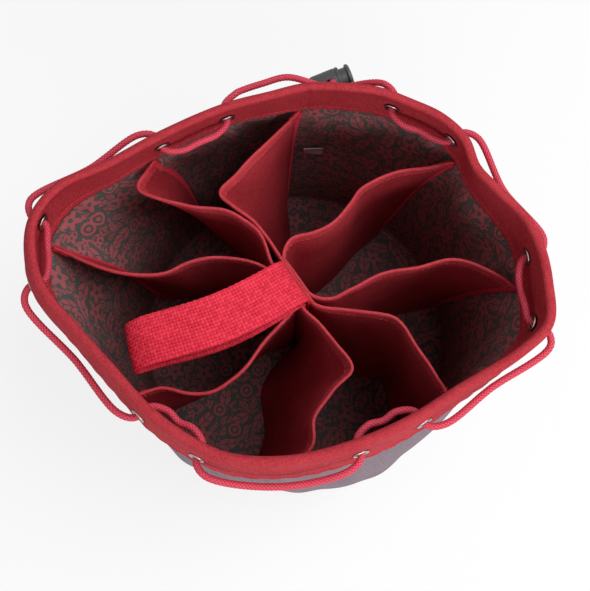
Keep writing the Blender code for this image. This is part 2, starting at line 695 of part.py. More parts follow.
def add_tube(name, points, radius, roundness, finish):
    """A round tube along the points, with closed ends."""
    curve = bpy.data.curves.new(name, "CURVE")
    curve.dimensions = "3D"
    curve.bevel_depth = radius * MM
    curve.bevel_resolution = roundness
    curve.use_fill_caps = True
    spline = curve.splines.new("POLY")
    spline.points.add(len(points) - 1)
    for place, point in zip(spline.points, points):
        place.co = (*(MM * c for c in point), 1)
    return add_object(name, curve, finish)


def crossing(frame, inwards):
    """The two mouths of an eyelet as the cord goes through it on its way round to the left."""
    centre, out, along = frame
    reach_out = BAND_OUTSIDE_OUT + GAP + EYELET_FLANGE + 1.0
    reach_in = BAND_INSIDE_IN - GAP - EYELET_FLANGE - 1.0
    levels = (reach_out, reach_in) if inwards else (reach_in, reach_out)
    return [centre - along * CORD_LEAN + out * levels[0],
            centre + along * CORD_LEAN + out * levels[1]]


def cord_route():
    """The drawcord's own points from its left end to its right one, and where it runs straight."""
    place, along, across, upward = lock_frame()
    mouth = LOCK_RADIUS + 1.4
    left, right = place + across * CORD_SIDE, place - across * CORD_SIDE
    frames = eyelet_frames()
    stations = eyelet_stations()
    tail = np.array([0, 0, -TAIL_LENGTH])
    spread = np.array([TAIL_SPREAD, 0, 0])
    out = wall_normal(0, EYELET_HEIGHT)
    route = [left + tail + out * 5 - spread, left + tail * 0.62 + out * 7 - spread,
             left + tail * 0.3 + out * 8 - spread / 2]
    route += [left - upward * mouth, left, left + upward * mouth]
    straight = {3, 4}
    route += [left + upward * (mouth + 4.5) - along * 3.5]
    route += [layer_point(station / WALL_LENGTH, EYELET_HEIGHT - drop, standoff)
              for station, drop, standoff in CORD_FROM_LOCK]
    for k, (frame, u) in enumerate(zip(frames, stations)):
        inwards = k % 2 == 0
        centre, face, way = frame
        side = 1 if inwards else -1
        route.append(centre - way * CORD_TURN + face * side * CORD_STANDOFF)
        straight.add(len(route))
        route += crossing(frame, inwards)
        route.append(centre + way * CORD_TURN - face * side * CORD_STANDOFF)
        if k < len(CORD_SPANS) and k + 1 < len(stations):
            standoff, sag = CORD_SPANS[k]
            middle = (u + stations[k + 1]) / 2
            route.append(layer_point(middle, EYELET_HEIGHT - sag, -side * standoff))
    route += [right + upward * (mouth + 6) + along * 9, right + upward * (mouth + 4.5) + along * 3]
    straight |= {len(route), len(route) + 1}
    route += [right + upward * mouth, right, right - upward * mouth]
    route += [right + tail * 0.3 + out * 8 + spread / 2, right + tail * 0.62 + out * 7 + spread,
              right + tail + out * 5 + spread]
    return route, straight


def drawcord(cord_finish):
    """The drawcord and the knots at its two ends."""
    route, straight = cord_route()
    counts = []
    for k, (a, b) in enumerate(zip(route, route[1:])):
        steps = max(1, round(np.linalg.norm(b - a) / CORD_STEP))
        counts.append(1 if k in straight else steps)
    line = np.vstack([*smooth_pieces(route, counts), route[-1][None]])
    add_tube("drawcord", line, CORD_RADIUS, 2, cord_finish)
    for name, end, before in (("cord_knot_left", line[0], line[1]),
                              ("cord_knot_right", line[-1], line[-2])):
        away = unit(end - before)
        bm = bmesh.new()
        centre = Vector(end + away * (KNOT_RADIUS + GAP))
        bmesh.ops.create_uvsphere(bm, u_segments=12, v_segments=8, radius=KNOT_RADIUS,
                                  matrix=Matrix.Translation(centre))
        add_mesh(name, bm, cord_finish)
    return line


def care_label(finish):
    """The blank label sewn flat to the lining at the back seam, its free end standing off."""
    top = HEIGHT - LABEL_TOP_DROP
    stations = [LABEL_STATION + LABEL_WIDTH * side for side in (-0.5, 0.0, 0.5)]
    grid = np.zeros((3, 4, 3))
    for i, station in enumerate(stations):
        for k in range(4):
            share = k / 3
            clear = LABEL_THICKNESS / 2 + 4 * GAP - LINING_IN + LABEL_SPLAY * share * share
            grid[i, 3 - k] = layer_point(station / WALL_LENGTH, top - LABEL_LENGTH * share, -clear)
    add_sheet("care_label", grid, LABEL_THICKNESS, finish)


def main():
    for piece in list(bpy.data.objects):
        bpy.data.objects.remove(piece, do_unlink=True)
    red = material("red_canvas", (0.50, 0.028, 0.040), 0.85)
    mauve = material("mauve_canvas", (0.26, 0.20, 0.26), 0.85)
    printed = material("printed_lining", (0.085, 0.060, 0.058), 0.80)
    pink = material("crimson_webbing", (0.62, 0.030, 0.085), 0.75)
    braid = material("crimson_braid", (0.60, 0.030, 0.080), 0.70)
    nickel = material("nickel", (0.66, 0.64, 0.60), 0.30, 1.0)
    plastic = material("black_plastic", (0.045, 0.045, 0.048), 0.50)
    steel = material("spring_steel", (0.50, 0.50, 0.52), 0.35, 1.0)
    tape = material("label_tape", (0.62, 0.62, 0.60), 0.80)

    body_panels(mauve)
    lining_wall(printed)
    base_disc("outer_base", 0.0, CLOTH_FLOOR - BODY_IN, mauve)
    base_disc("lining_base", CLOTH_FLOOR - LINING_OUT, FLOOR_TOP, printed)
    rim_band(red)
    eyelets(nickel)

    near = GAP / 2 + WEBBING + GAP + CANVAS / 2
    far = near + CANVAS + GAP
    whole, short = SPINE_HALF, SPINE_SHORT
    divider_strip("divider_strip_outer_right", (ARM_BACK_RIGHT, ARM_RIGHT), (whole, -short), far, red)
    divider_strip("divider_strip_inner_right", (ARM_BACK, ARM_FRONT_RIGHT), (whole, -whole), near, red)
    divider_strip("divider_strip_inner_left", (ARM_BACK_LEFT, ARM_FRONT), (whole, -whole), -near, red)
    divider_strip("divider_strip_outer_left", (ARM_LEFT, ARM_FRONT_LEFT), (short, -short), -far, red)
    pull_strap(pink)
    care_label(tape)
    cord_lock(plastic, steel)
    drawcord(braid)


main()
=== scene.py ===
# %% [markdown]
# # A kinchaku pouch that stands open
#
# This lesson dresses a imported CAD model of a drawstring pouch: canvas, a printed lining, sewn
# strips that make pockets, a webbing loop, a braided cord and its lock. The CAD model gives the
# places. Every soft piece is made again here as cloth with a weave, hems and stitches.
#
# Sizes are in millimetres, and MM turns them into Blender's metres. Most pieces start as a flat
# bmesh grid, which is then laid on a surface that a short function describes. A grid is chosen
# because it carries a UV map in real millimetres for free, so a weave has the right scale.

import math
from functools import partial

import bmesh
import bpy
import numpy as np
from mathutils import Matrix, Vector


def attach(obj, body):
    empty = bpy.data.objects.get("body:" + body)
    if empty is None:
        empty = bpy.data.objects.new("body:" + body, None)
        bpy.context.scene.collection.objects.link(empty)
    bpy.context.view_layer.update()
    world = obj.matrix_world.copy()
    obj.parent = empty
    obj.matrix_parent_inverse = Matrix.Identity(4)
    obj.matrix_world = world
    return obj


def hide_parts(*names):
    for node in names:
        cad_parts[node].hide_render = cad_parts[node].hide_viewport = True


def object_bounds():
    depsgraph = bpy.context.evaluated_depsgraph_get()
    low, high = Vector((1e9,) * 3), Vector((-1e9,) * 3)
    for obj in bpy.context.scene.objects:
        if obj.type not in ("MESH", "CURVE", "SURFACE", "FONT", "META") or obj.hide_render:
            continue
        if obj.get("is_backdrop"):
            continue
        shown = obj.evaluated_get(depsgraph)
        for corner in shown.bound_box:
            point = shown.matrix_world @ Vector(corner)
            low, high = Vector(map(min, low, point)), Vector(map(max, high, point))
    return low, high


MM = 0.001
TAU = 2 * math.pi

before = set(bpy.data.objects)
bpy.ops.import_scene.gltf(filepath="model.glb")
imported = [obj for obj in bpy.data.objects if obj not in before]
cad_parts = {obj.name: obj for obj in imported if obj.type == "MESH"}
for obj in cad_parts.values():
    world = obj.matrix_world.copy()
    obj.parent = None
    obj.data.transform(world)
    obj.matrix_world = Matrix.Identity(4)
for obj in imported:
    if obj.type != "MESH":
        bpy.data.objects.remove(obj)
cad_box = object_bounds()
print("nodes in the frame:", len(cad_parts))

# %% [markdown]
# ## The camera
#
# The photograph looks steeply down into the pouch from the front. A 50 mm lens on a 36 mm sensor
# gives its perspective, and the camera stands about half a metre over the floor.

# %% Place the camera
CAMERA_PLACE = (0, -0.1123, 0.547)  # metres
CAMERA_TILT = math.radians(15)
lens = bpy.data.cameras.new("photo_camera")
lens.lens = 50
lens.sensor_width = 36
camera = bpy.data.objects.new("photo_camera", lens)
camera.location = CAMERA_PLACE
camera.rotation_euler = (CAMERA_TILT, 0, 0)
bpy.context.scene.collection.objects.link(camera)
bpy.context.scene.camera = camera

# %% [markdown]
# ## The shape of the tube
#
# Every cloth layer, eyelet and cord follows one surface: the middle of the wall's cloth. Below it is
# a round tube, and above it takes the uneven outline of the open mouth. A place on it is a share of
# the way round, counted from the back seam by the left, and a height. The sizes are those of the
# CAD part, so that each layer stays where its solid is.

# %% Sizes that the CAD part has too
GAP = 0.3
CANVAS = 1.1
LINING = 0.7
WEBBING = 1.8
HEIGHT = 180.0
BASE_MIDDLE = np.array([0.0, 6.0])
BASE_RADIUS = 100.0
BASE_CORNER = 5.0
BELLY_RADIUS = 104.5
BELLY_HEIGHT = 95.0
ROUND_BELOW = 70.0
RIM_SHAPE_FROM = 175.0
RIM_OUTLINE = [
    (7, 95), (-13, 90), (-34, 84), (-65, 69), (-91, 54), (-115, 42), (-126, 25), (-125, 4),
    (-118, -12), (-102, -30), (-85, -48), (-66, -68), (-46, -82), (-29, -89), (-2, -90),
    (27, -83), (53, -72), (76, -58), (106, -40), (119, -27), (120, -8), (118, 9), (112, 25),
    (99, 40), (89, 52), (84, 67), (73, 79), (58, 87), (43, 93), (25, 95),
]
SHOULDER = [
    (0.0, 5.0), (0.08, 6.0), (0.16, 7.0), (0.22, 8.0), (0.27, 8.0), (0.33, 5.0), (0.40, 4.0),
    (0.50, 2.0), (0.60, 1.0), (0.70, 0.0), (0.76, 1.0), (0.80, 3.0), (0.85, 5.0), (0.90, 6.0),
    (1.0, 5.0),
]
SHOULDER_FROM = 30.0
SHOULDER_DROP = 30.0
BAND_DEPTH = 35.0
EYELET_PAIRS = 6
EYELET_PAIR_SPACING = 35.0
EYELET_DROP = 17.5
EYELET_SHIFTS = [5.0, 5.0, 1.0, -2.0, 3.0, 0.0, 0.0, -3.0, -3.0, -3.0, -5.0, -5.0]
EYELET_HOLE_RADIUS = 2.7
EYELET_WALL = 0.5
EYELET_FLANGE_RADIUS = 4.0
EYELET_FLANGE = 0.6
EYELET_MARGIN = 1.0

BODY_MIDDLE = GAP / 2 + CANVAS / 2
LINING_MIDDLE = -GAP / 2 - LINING / 2
LINING_IN = LINING_MIDDLE - LINING / 2
BODY_OUT = BODY_MIDDLE + CANVAS / 2
BAND_OUTSIDE_MIDDLE = BODY_OUT + GAP + CANVAS / 2
BAND_INSIDE_MIDDLE = LINING_IN - GAP - CANVAS / 2
BAND_OUTSIDE_OUT = BAND_OUTSIDE_MIDDLE + CANVAS / 2
BAND_INSIDE_IN = BAND_INSIDE_MIDDLE - CANVAS / 2
CLOTH_FLOOR = BODY_OUT
BAND_BOTTOM = HEIGHT - BAND_DEPTH
EYELET_HEIGHT = HEIGHT - EYELET_DROP
EYELET_FLAT = EYELET_FLANGE_RADIUS + EYELET_MARGIN
WALL_TOP = EYELET_HEIGHT - EYELET_FLAT
SHOULDER_HEIGHT = HEIGHT - SHOULDER_DROP
WALL_LENGTH = TAU * BELLY_RADIUS
FLOOR_TOP = CLOTH_FLOOR - LINING_IN
SEAM_ANGLE = math.atan2(RIM_OUTLINE[0][1], RIM_OUTLINE[0][0])
print(f"the tube is {WALL_LENGTH:.0f} mm round and {HEIGHT:.0f} mm high")


# %% Smooth curves through a few points
CURVE_STEPS = 24


def ease(share):
    share = np.clip(share, 0.0, 1.0)
    return share * share * (3 - 2 * share)


def within(z, low, rise, high, fall):
    """1 between two heights, with an ease over rise at the low one and over fall at the high one."""
    return ease((z - low) / rise) * (1 - ease((z - high) / fall))


def bell(away, width, power=2):
    """1 in the middle, and soon 0 past the width."""
    return np.exp(-((away / width) ** power))


def unit(vector):
    return np.asarray(vector, float) / np.linalg.norm(vector)


def curve_piece(a, b, c, d, count):
    """count points from b towards c, on the smooth curve through a, b, c and d."""
    t0 = 0.0
    t1 = t0 + np.linalg.norm(b - a) ** 0.5
    t2 = t1 + np.linalg.norm(c - b) ** 0.5
    t3 = t2 + np.linalg.norm(d - c) ** 0.5
    t = np.linspace(t1, t2, count, endpoint=False)[:, None]
    ab = ((t1 - t) * a + (t - t0) * b) / (t1 - t0)
    bc = ((t2 - t) * b + (t - t1) * c) / (t2 - t1)
    cd = ((t3 - t) * c + (t - t2) * d) / (t3 - t2)
    abc = ((t2 - t) * ab + (t - t0) * bc) / (t2 - t0)
    bcd = ((t3 - t) * bc + (t - t1) * cd) / (t3 - t1)
    return ((t2 - t) * abc + (t - t1) * bcd) / (t2 - t1)


def smooth_pieces(points, counts):
    """The smooth curve through the points, one array for each stretch between two of them."""
    p = np.array(points, float)
    p = np.vstack([2 * p[0] - p[1], p, 2 * p[-1] - p[-2]])
    return [curve_piece(*p[i : i + 4], n) for i, n in enumerate(counts)]


def distances(line):
    """How far along a line of points each of its points lies."""
    return np.concatenate([[0], np.cumsum(np.linalg.norm(np.diff(line, axis=0), axis=1))])


def sampled(along, values, count):
    """count rows at even steps along a line, from one row of values for each of its points."""
    at = np.linspace(0, along[-1], count)
    return np.stack([np.interp(at, along, column) for column in values.T], axis=1)


def evenly(line, count):
    """count points at even steps along a line of points, both ends included."""
    line = np.array(line, float)
    return sampled(distances(line), line, count)


def length_of(line):
    return np.linalg.norm(np.diff(line, axis=0), axis=1).sum()


# %% The wall as a function
RIM_STEPS = 720


def rim_line():
    p = np.array(RIM_OUTLINE, float)
    n = len(p)
    pieces = [curve_piece(p[i - 1], p[i], p[(i + 1) % n], p[(i + 2) % n], CURVE_STEPS)
              for i in range(n)]
    line = evenly(np.vstack([*pieces, p[:1]]), RIM_STEPS + 1)
    return line * WALL_LENGTH / length_of(line)


RIM = rim_line()


def floor_lean(z):
    return np.clip(1 - (z - CLOTH_FLOOR) / BASE_CORNER, 0.0, 1.0)


def shoulder(u, z):
    """How far the wall stands out below the rim."""
    places, reaches = zip(*SHOULDER)
    leans = ease((z - SHOULDER_FROM) / (SHOULDER_HEIGHT - SHOULDER_FROM))
    curls = 1 - np.clip((z - SHOULDER_HEIGHT) / SHOULDER_DROP, 0, None) ** 2
    return np.interp(np.mod(u, 1.0), places, reaches) * leans * curls


def wall_points(u, z):
    """The middle of the wall's cloth, u of the way round from the back seam, at height z."""
    u, z = np.broadcast_arrays(np.asarray(u, float), np.asarray(z, float))
    angle = SEAM_ANGLE + TAU * u
    corner = BASE_CORNER * (1 - np.sqrt(1 - floor_lean(z) ** 2))
    radius = BASE_RADIUS + (BELLY_RADIUS - BASE_RADIUS) * ease(z / BELLY_HEIGHT) - corner
    share = ease((z - ROUND_BELOW) / (RIM_SHAPE_FROM - ROUND_BELOW))[..., None]
    circle = BASE_MIDDLE + radius[..., None] * np.stack([np.cos(angle), np.sin(angle)], -1)
    at = np.mod(u, 1.0) * (len(RIM) - 1)
    rim = np.stack([np.interp(at, np.arange(len(RIM)), RIM[:, k]) for k in (0, 1)], -1)
    plain = (1 - share) * circle + share * rim
    away = plain - BASE_MIDDLE
    away /= np.linalg.norm(away, axis=-1, keepdims=True)
    return np.concatenate([plain + away * shoulder(u, z)[..., None], z[..., None]], -1)


def wall_normals(u, z):
    """The level directions that point out of the wall."""
    step = 1 / len(RIM)
    along = wall_points(u + step, z) - wall_points(u - step, z)
    out = np.stack([along[..., 1], -along[..., 0], np.zeros_like(along[..., 0])], -1)
    return out / np.linalg.norm(out, axis=-1, keepdims=True)


def layer_points(u, z, offset):
    """Points that lie offset outwards from the middle of the wall's cloth."""
    u, z = np.broadcast_arrays(np.asarray(u, float), np.asarray(z, float))
    lean = floor_lean(z)[..., None]
    face = wall_normals(u, z) * np.sqrt(1 - lean**2)
    face[..., 2] -= lean[..., 0]
    return wall_points(u, z) + face * np.asarray(offset, float)[..., None]


def eyelet_stations():
    half = EYELET_PAIR_SPACING / 2
    middles = [(k + 0.5) * WALL_LENGTH / EYELET_PAIRS for k in range(EYELET_PAIRS)]
    even = [m + side * half for m in middles for side in (-1, 1)]
    return [(place + shift) / WALL_LENGTH for place, shift in zip(even, EYELET_SHIFTS)]


def eyelet_frames():
    """Each eyelet's middle, and the directions out of the wall and along it towards the left."""
    frames = []
    flat = EYELET_FLAT / WALL_LENGTH
    for u in eyelet_stations():
        left, right = wall_points(u + flat, EYELET_HEIGHT), wall_points(u - flat, EYELET_HEIGHT)
        along = unit(left - right)
        low = (wall_points(u + flat, WALL_TOP) + wall_points(u - flat, WALL_TOP)) / 2
        top = EYELET_HEIGHT + EYELET_FLAT
        high = (wall_points(u + flat, top) + wall_points(u - flat, top)) / 2
        out = unit(np.cross(along, high - low))
        frames.append(((low + high) / 2, out, along))
    return frames


STATIONS = eyelet_stations()
EYELETS = eyelet_frames()


# %% [markdown]
# ## From a grid to a piece
#
# Two helpers make most pieces. One lays a flat grid on a surface and keeps a UV map in real
# millimetres. The other wraps a grid round a line, which gives cords, threads and wire. The seam
# where a grid meets itself is merged, so a tube is one closed skin.

# %% Helpers that make a mesh object
MERGE_DISTANCE = 0.001


def add_piece(name, bm, finish, body="pouch", smooth=True):
    """Turns a bmesh in millimetres into a piece that rides on a CAD body."""
    bmesh.ops.scale(bm, vec=(MM, MM, MM), verts=bm.verts)
    mesh = bpy.data.meshes.new(name)
    bm.to_mesh(mesh)
    bm.free()
    if smooth:
        mesh.shade_smooth()
    piece = bpy.data.objects.new(name, mesh)
    bpy.context.scene.collection.objects.link(piece)
    mesh.materials.append(finish)
    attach(piece, body)
    print(f"{name}: {len(mesh.polygons)} faces")
    return piece


def laid_grid(columns, rows, size, place):
    """A grid whose points are laid by place(a, b), where a and b run from 0 to 1."""
    bm = bmesh.new()
    bmesh.ops.create_grid(bm, x_segments=columns, y_segments=rows, size=0.5)
    bm.verts.index_update()
    shares = np.array([v.co for v in bm.verts])[:, :2] + 0.5
    points = place(shares[:, 0], shares[:, 1])
    uv = bm.loops.layers.uv.new("UVMap")
    for face in bm.faces:
        for corner in face.loops:
            a, b = shares[corner.vert.index]
            corner[uv].uv = (a * size[0] * MM, b * size[1] * MM)
    for vert, point in zip(bm.verts, points):
        vert.co = point
    return bm


def thicken(piece, thickness):
    """Gives a cloth its thickness, half to each side."""
    solid = piece.modifiers.new("thickness", "SOLIDIFY")
    solid.thickness = thickness * MM
    solid.offset = 0
    return piece


def merged(bm):
    bmesh.ops.remove_doubles(bm, verts=bm.verts, dist=MERGE_DISTANCE)
    return bm


def carried_frames(line):
    """Two directions across a line at each of its points, carried along it without twisting."""
    tangent = np.gradient(line, axis=0)
    tangent /= np.linalg.norm(tangent, axis=1, keepdims=True)
    side = np.zeros_like(line)
    start = np.cross(tangent[0], (0.3, 0.2, 0.9))
    side[0] = unit(start)
    for i in range(1, len(line)):
        level = side[i - 1] - tangent[i] * np.dot(side[i - 1], tangent[i])
        side[i] = unit(level)
    return side, np.cross(tangent, side)


def tube(name, line, radius, around, finish, relief=None):
    """A round tube along a line of points, closed at both ends, with an optional surface relief."""
    line = np.array(line, float)
    side, other = carried_frames(line)
    count = len(line) - 1
    distance = distances(line)

    def place(a, b):
        i = np.rint(a * count).astype(int)
        angle = TAU * b
        swell = relief(distance[i], b) if relief else 0.0
        reach = (radius + swell) * np.ones_like(b)
        spoke = side[i] * np.cos(angle)[:, None] + other[i] * np.sin(angle)[:, None]
        return line[i] + spoke * reach[:, None]

    bm = merged(laid_grid(count, around, (distance[-1], TAU * radius), place))
    bmesh.ops.holes_fill(bm, edges=[e for e in bm.edges if e.is_boundary])
    bmesh.ops.recalc_face_normals(bm, faces=bm.faces)
    return add_piece(name, bm, finish)


# %% [markdown]
# ## Finishes that several pieces share
#
# Woven cloth is many threads that pass over and under each other. At each crossing one thread
# bulges, so a small bump at every crossing reads as a weave. The group below puts out that height
# from the UV map, and a tone that makes some threads lighter than their neighbours, as real yarn is.

# %% Small helpers for shader nodes
def new_material(name, roughness, metallic=0.0):
    made = bpy.data.materials.new(name)
    made.use_nodes = True
    shader = made.node_tree.nodes["Principled BSDF"]
    shader.inputs["Roughness"].default_value = roughness
    shader.inputs["Metallic"].default_value = metallic
    return made, made.node_tree, shader


def feed(tree, socket, value):
    """Gives an input a socket to follow, or a plain value."""
    if isinstance(value, bpy.types.NodeSocket):
        tree.links.new(value, socket)
    elif isinstance(value, tuple) and socket.type == "RGBA":
        socket.default_value = (*value, 1)
    else:
        socket.default_value = value


def node(tree, kind, inputs=None, **values):
    """A shader node with its settings, and its inputs by name or number."""
    made = tree.nodes.new(kind)
    for name, value in values.items():
        setattr(made, name, value)
    for name, value in (inputs or {}).items():
        feed(tree, made.inputs[name], value)
    return made


def math_node(tree, operation, *given):
    """A Math node whose inputs are sockets or plain numbers."""
    return node(tree, "ShaderNodeMath", dict(enumerate(given)), operation=operation).outputs[0]


def noise(tree, vector, scale, detail=2.0):
    given = {"Vector": vector, "Scale": scale, "Detail": detail}
    return node(tree, "ShaderNodeTexNoise", given).outputs["Fac"]


def mixed(tree, share, first, second):
    """A colour between two colours or sockets."""
    given = {"Factor": share, "A": first, "B": second}
    return node(tree, "ShaderNodeMix", given, data_type="RGBA").outputs["Result"]


def mottled_material(name, roughness, metallic, scale, detail, light, dark):
    """A hard finish whose colour varies a little over the object."""
    made, tree, shader = new_material(name, roughness, metallic)
    place = node(tree, "ShaderNodeTexCoord").outputs["Object"]
    tint = noise(tree, place, scale, detail)
    tree.links.new(mixed(tree, tint, light, dark), shader.inputs["Base Color"])
    return made, tree, shader, place


def uneven_roughness(tree, shader, place, scale, least, spread=0.25):
    """Replaces a finish's roughness by one that runs from least to least plus spread."""
    rough = math_node(tree, "MULTIPLY_ADD", noise(tree, place, scale), spread, least)
    tree.links.new(rough, shader.inputs["Roughness"])


def group_with(name, inputs, outputs):
    """An empty node group with named inputs and outputs."""
    group = bpy.data.node_groups.new(name, "ShaderNodeTree")
    for label, kind in inputs:
        group.interface.new_socket(label, in_out="INPUT", socket_type=kind)
    for label, kind in outputs:
        group.interface.new_socket(label, in_out="OUTPUT", socket_type=kind)
    return group, group.nodes.new("NodeGroupInput"), group.nodes.new("NodeGroupOutput")


# %% The weave group
def make_weave_group():
    group, given, result = group_with(
        "plain_weave",
        [("Place", "NodeSocketVector"), ("Pitch", "NodeSocketFloat")],
        [("Height", "NodeSocketFloat"), ("Tone", "NodeSocketFloat")],
    )
    calc, link = partial(math_node, group), group.links.new
    split = node(group, "ShaderNodeSeparateXYZ", {0: given.outputs["Place"]})
    threads = [calc("DIVIDE", split.outputs[axis], given.outputs["Pitch"]) for axis in ("X", "Y")]
    waves = [calc("ABSOLUTE", calc("COSINE", calc("MULTIPLY", count, math.pi))) for count in threads]
    yarn = node(group, "ShaderNodeCombineXYZ", {k: calc("ROUND", threads[k]) for k in (0, 1)})
    spot = node(group, "ShaderNodeTexWhiteNoise", {"Vector": yarn.outputs[0]}, noise_dimensions="2D")
    link(calc("MULTIPLY", *waves), result.inputs["Height"])
    link(spot.outputs["Value"], result.inputs["Tone"])
    return group


WEAVE = make_weave_group()


def weave_nodes(tree, pitch):
    """The weave's height and tone on a piece's own UV map."""
    place = node(tree, "ShaderNodeUVMap", uv_map="UVMap").outputs["UV"]
    made = node(tree, "ShaderNodeGroup", node_tree=WEAVE)
    feed(tree, made.inputs["Place"], place)
    feed(tree, made.inputs["Pitch"], pitch * MM)
    return place, made.outputs["Height"], made.outputs["Tone"]


def add_bump(tree, shader, height, distance):
    bump = node(tree, "ShaderNodeBump", {"Distance": distance * MM, "Strength": 1.0, "Height": height})
    tree.links.new(bump.outputs["Normal"], shader.inputs["Normal"])


# %% Woven cloth
# The weave's hollows are darkened in colour as painted shade; uneven yarn and patches are the cloth's
# own tone.
PAINTED_HOLLOW_SHADE = 0.75  # how much of the shade lies in the hollows
UNEVEN_YARN = 0.45
PATCHY = 0.50


def woven_material(name, colour, shade, pitch, relief):
    """Cloth with a visible weave: shade is the colour of its darker threads and the painted shade in
    its hollows.
    """
    made, tree, shader = new_material(name, 0.9)
    calc = partial(math_node, tree)
    place, height, tone = weave_nodes(tree, pitch)
    # Painted shade: darker colour in the weave's hollows
    weave_hollow_shade = calc("MULTIPLY_ADD", height, -PAINTED_HOLLOW_SHADE, PAINTED_HOLLOW_SHADE)
    uneven = calc("MULTIPLY_ADD", tone, UNEVEN_YARN, -UNEVEN_YARN / 2)
    patchy = calc("MULTIPLY_ADD", noise(tree, place, 55.0, 3.0), PATCHY, -PATCHY / 2)
    share = calc("ADD", calc("ADD", weave_hollow_shade, uneven), patchy)
    share = calc("MAXIMUM", calc("MINIMUM", share, 1.0), 0.0)
    tree.links.new(mixed(tree, share, colour, shade), shader.inputs["Base Color"])
    shader.inputs["Specular IOR Level"].default_value = 0.12
    add_bump(tree, shader, calc("MULTIPLY_ADD", noise(tree, place, 2600.0, 2.0), 0.5, height), relief)
    return made


# %% Cloth and thread colours
# Every woven finish below paints shade into its weave's hollows; the webbing's painted shade follows
# its raised crossings.
red_canvas = woven_material("red_canvas", (0.58, 0.055, 0.072), (0.28, 0.014, 0.022), 0.80, 0.16)
# The hems' canvas is the red canvas made lighter: a painted highlight where the rolled hems face the
# light.
hem_canvas_painted_light = woven_material("red_hem_painted_light", (0.74, 0.085, 0.110), (0.36, 0.020, 0.030), 0.80, 0.16)
mauve_canvas = woven_material("mauve_canvas", (0.30, 0.235, 0.27), (0.16, 0.12, 0.145), 0.70, 0.14)
webbing_yarn = woven_material("crimson_webbing", (0.86, 0.052, 0.092), (0.46, 0.010, 0.025), 1.7, 0.10)
label_tape = woven_material("label_tape", (0.62, 0.61, 0.60), (0.45, 0.44, 0.44), 0.35, 0.05)
red_thread = woven_material("red_thread", (0.72, 0.050, 0.085), (0.42, 0.015, 0.030), 0.30, 0.05)


# %% [markdown]
# ## The drawcord
#
# The cord is a thin round braid. It starts at a knot behind the pouch, goes up through the lock, in
# and out of the twelve eyelets, and back through the lock to a second knot. The route is a short
# list of places: the mouths of each eyelet, a turn beside it, and the middle of each span. A smooth
# curve through them is then wrapped with a grid, and the strands are raised on it as a relief, which
# takes far fewer faces than twelve separate yarns.
# The hollows and corners between the strands are darkened as painted shade.

# %% Sizes of the cord, its spans and the lock
CORD_RADIUS = 1.7
CORD_LEAN = 0.7
CORD_TURN = 8.0
CORD_PAST_METAL = 1.0
CORD_PAST_LOCK = 1.4
CORD_STANDOFF = 8.4
CORD_SPANS = [
    (9.0, 1.5), (6.0, 2.5), (8.0, 2.0), (7.0, 3.0), (7.5, 2.5), (8.5, 3.0),
    (7.5, 2.0), (6.0, 3.5), (7.5, 2.0), (7.5, 3.0), (8.0, 2.0),
]
CORD_FROM_LOCK = [(8.0, 0.5, 12.5), (21.0, 0.0, 12.0), (32.0, 0.0, 10.5)]
TAIL_LENGTH = 92.0
TAIL_SPREAD = 6.0
KNOT_RADIUS = 4.2
LOCK_STATION = -11.0
LOCK_DROP = 36.5
LOCK_STANDOFF = 14.0
LOCK_YAW, LOCK_PITCH, LOCK_ROLL = math.radians(20), math.radians(8), math.radians(40)
LOCK_RADIUS = 7.2
LOCK_LENGTH = 17.0
LOCK_WALL = 1.3
LOCK_END_WALL = 1.5
LOCK_TRAVEL = 3.5
LOCK_SPRING_ROOM = 6.3
PLUNGER_END_WALL = 1.5
PLUNGER_HEAD_RADIUS = 6.8
PLUNGER_HEAD = 2.2
CORD_ROOM = CORD_RADIUS + GAP
CORD_SIDE = CORD_RADIUS + GAP / 2
SLOT_HALF = CORD_SIDE + CORD_ROOM
BORE_RADIUS = LOCK_RADIUS - LOCK_WALL
PLUNGER_INNER_END = -CORD_ROOM - PLUNGER_END_WALL
LOCK_CLOSED_END = PLUNGER_INNER_END - LOCK_SPRING_ROOM - LOCK_END_WALL
LOCK_OPEN_END = LOCK_CLOSED_END + LOCK_LENGTH
HEAD_FROM = LOCK_OPEN_END + LOCK_TRAVEL + GAP


def lock_frame():
    """The lock's place where the cords cross it, and its directions along, across and up."""
    place = layer_points(LOCK_STATION / WALL_LENGTH, HEIGHT - LOCK_DROP, LOCK_STANDOFF)
    turn = (Matrix.Rotation(LOCK_YAW, 3, "Z") @ Matrix.Rotation(-LOCK_PITCH, 3, "Y")
            @ Matrix.Rotation(LOCK_ROLL, 3, "X"))
    along, across, upward = (np.array(turn.col[k]) for k in range(3))
    return place, along, across, upward


# %% The cord's route
def crossing(eyelet, inwards):
    """The two mouths of an eyelet as the cord goes through it on its way round to the left."""
    centre, out, along = eyelet
    reach_out = BAND_OUTSIDE_OUT + GAP + EYELET_FLANGE + CORD_PAST_METAL
    reach_in = BAND_INSIDE_IN - GAP - EYELET_FLANGE - CORD_PAST_METAL
    levels = (reach_out, reach_in) if inwards else (reach_in, reach_out)
    return [centre - along * CORD_LEAN + out * levels[0],
            centre + along * CORD_LEAN + out * levels[1]]


